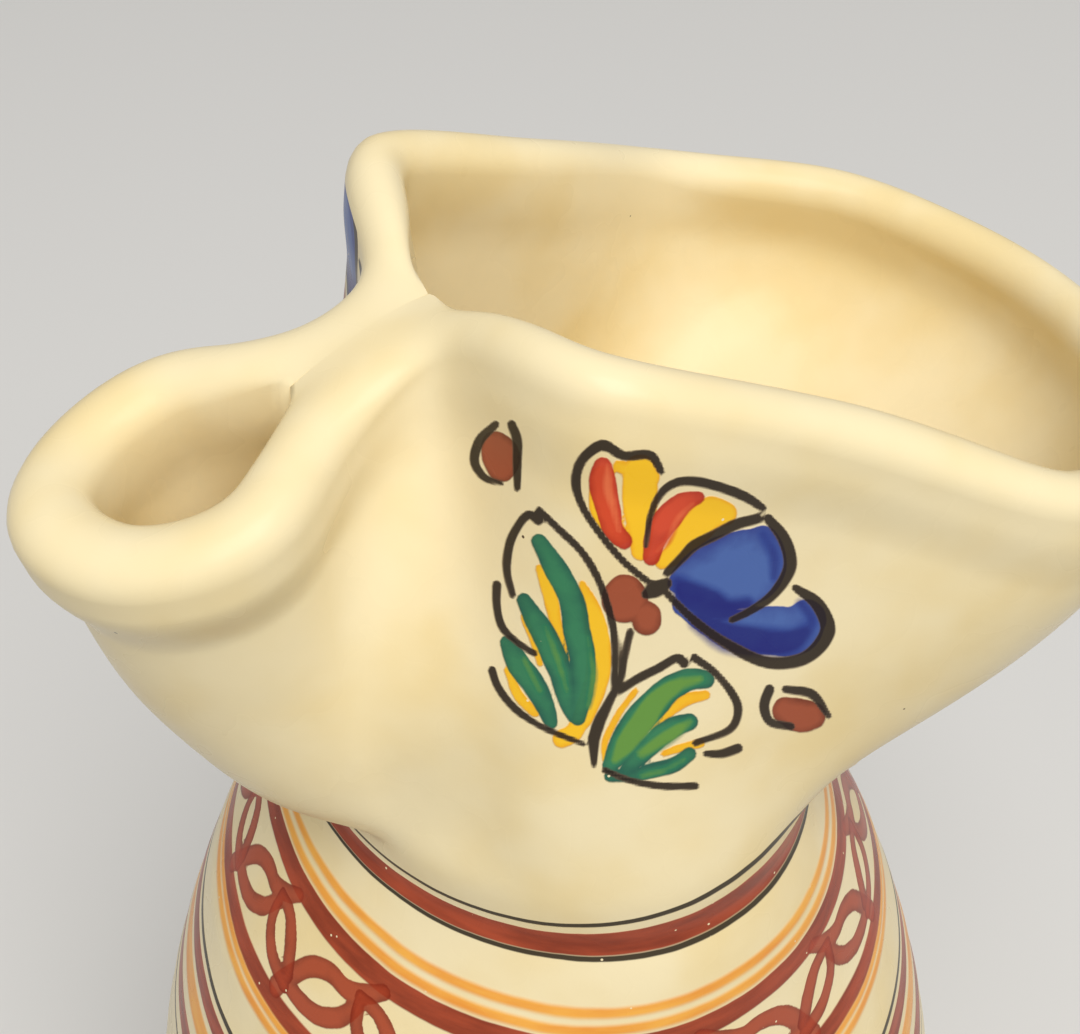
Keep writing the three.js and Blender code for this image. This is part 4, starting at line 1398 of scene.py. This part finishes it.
class PITCHER_OT_body(bpy.types.Operator):
    """Throw the body and paint its bands and scrolls"""

    bl_idname = "pitcher.body"
    bl_label = "Body"

    def execute(self, context):
        form = in_millimetres(context.scene.pitcher_form)
        loops, outside = body_loops(form)
        hubs = [(0, 0, 0), (0, 0, form.floor)]
        piece = grid_piece("pot_body", loops, around=False, ends=hubs)
        sharpen(piece, BODY_COLUMNS, lambda row, column: row == outside.stop - 1)
        bands = np.full(loops.shape[:2], NOT_PAINTED)
        bands[outside] = band_place(loops[outside])
        mark(piece, "band", bands)
        paint_scroll(piece, loops, outside)
        piece.data.materials.append(banded_earthenware(context.scene.pitcher_paint))
        carry(piece, "body")
        return {"FINISHED"}


class PITCHER_OT_collar(bpy.types.Operator):
    """Shape the pinched collar and paint its sprigs"""

    bl_idname = "pitcher.collar"
    bl_label = "Collar"

    def execute(self, context):
        form = in_millimetres(context.scene.pitcher_form)
        loops, outside_count = collar_loops(form)
        piece = grid_piece("pinched_collar", loops, around=True)
        # The light runs over the fused ridge and over the joint with the body, not into the seams.
        wall = CollarWall(form)
        fused = fused_columns(form, wall, collar_columns(wall))[0] > 0.5
        seam = outside_count + RIM_ROWS - 1
        sharpen(piece, len(fused), lambda row, column: (row == 0) | (row == seam) & fused[column])
        bands = np.full(loops.shape[:2], NOT_PAINTED)
        bands[:outside_count] = band_place(loops[:outside_count])
        mark(piece, "band", bands)
        paint_sprig(piece, loops, outside_count, wall)
        piece.data.materials.append(sprigged_earthenware(context.scene.pitcher_paint))
        carry(piece, "collar")
        return {"FINISHED"}


class PITCHER_OT_handle(bpy.types.Operator):
    """Pull the strap handle and press it on at the back"""

    bl_idname = "pitcher.handle"
    bl_label = "Handle"

    def execute(self, context):
        form = in_millimetres(context.scene.pitcher_form)
        loops = handle_loops(form)
        hubs = [loops[0].mean(axis=0), loops[-1].mean(axis=0)]
        piece = grid_piece("strap_handle", loops, around=False, ends=hubs)
        piece.data.materials.append(plain_earthenware(context.scene.pitcher_paint))
        carry(piece, "handle")
        return {"FINISHED"}


class PITCHER_OT_stage(bpy.types.Operator):
    """Set up the floor, the soft lights and the camera"""

    bl_idname = "pitcher.stage"
    bl_label = "Stage"

    def execute(self, context):
        stage = context.scene.pitcher_stage
        studio_floor(stage)
        studio_air(stage)
        soft_light("key_light", stage.key_power, KEY_SIZE, KEY_PLACE, LIT_PLACE)
        soft_light("fill_light", stage.fill_power, FILL_SIZE, FILL_PLACE, LIT_PLACE)
        studio_camera(stage)
        context.scene.view_settings.view_transform = "Standard"
        return {"FINISHED"}


class PITCHER_PT_build(bpy.types.Panel):
    """Lists the pieces of the pitcher and its stage"""

    bl_idname = "PITCHER_PT_build"
    bl_label = "Pottery Pitcher"
    bl_space_type = "VIEW_3D"
    bl_region_type = "UI"
    bl_category = "Pitcher"

    def draw(self, context):
        layout = self.layout
        for operator in OPERATORS:
            layout.operator(operator.bl_idname)
        for title, group in (
            ("Form", context.scene.pitcher_form),
            ("Paint", context.scene.pitcher_paint),
            ("Stage", context.scene.pitcher_stage),
        ):
            box = layout.box()
            box.label(text=title)
            for name in group.__annotations__:
                box.prop(group, name)


OPERATORS = (PITCHER_OT_body, PITCHER_OT_collar, PITCHER_OT_handle, PITCHER_OT_stage)
GROUPS = {"pitcher_form": PitcherForm, "pitcher_paint": PitcherPaint, "pitcher_stage": PitcherStage}


def register():
    for group in GROUPS.values():
        bpy.utils.register_class(group)
    for name, group in GROUPS.items():
        setattr(bpy.types.Scene, name, bpy.props.PointerProperty(type=group))
    for operator in OPERATORS:
        bpy.utils.register_class(operator)
    bpy.utils.register_class(PITCHER_PT_build)


def unregister():
    bpy.utils.unregister_class(PITCHER_PT_build)
    for operator in reversed(OPERATORS):
        bpy.utils.unregister_class(operator)
    for name in GROUPS:
        delattr(bpy.types.Scene, name)
    for group in reversed(GROUPS.values()):
        bpy.utils.unregister_class(group)


def main():
    register()
    bpy.ops.pitcher.body()
    bpy.ops.pitcher.collar()
    bpy.ops.pitcher.handle()
    bpy.ops.pitcher.stage()


if __name__ == "__main__":
    main()
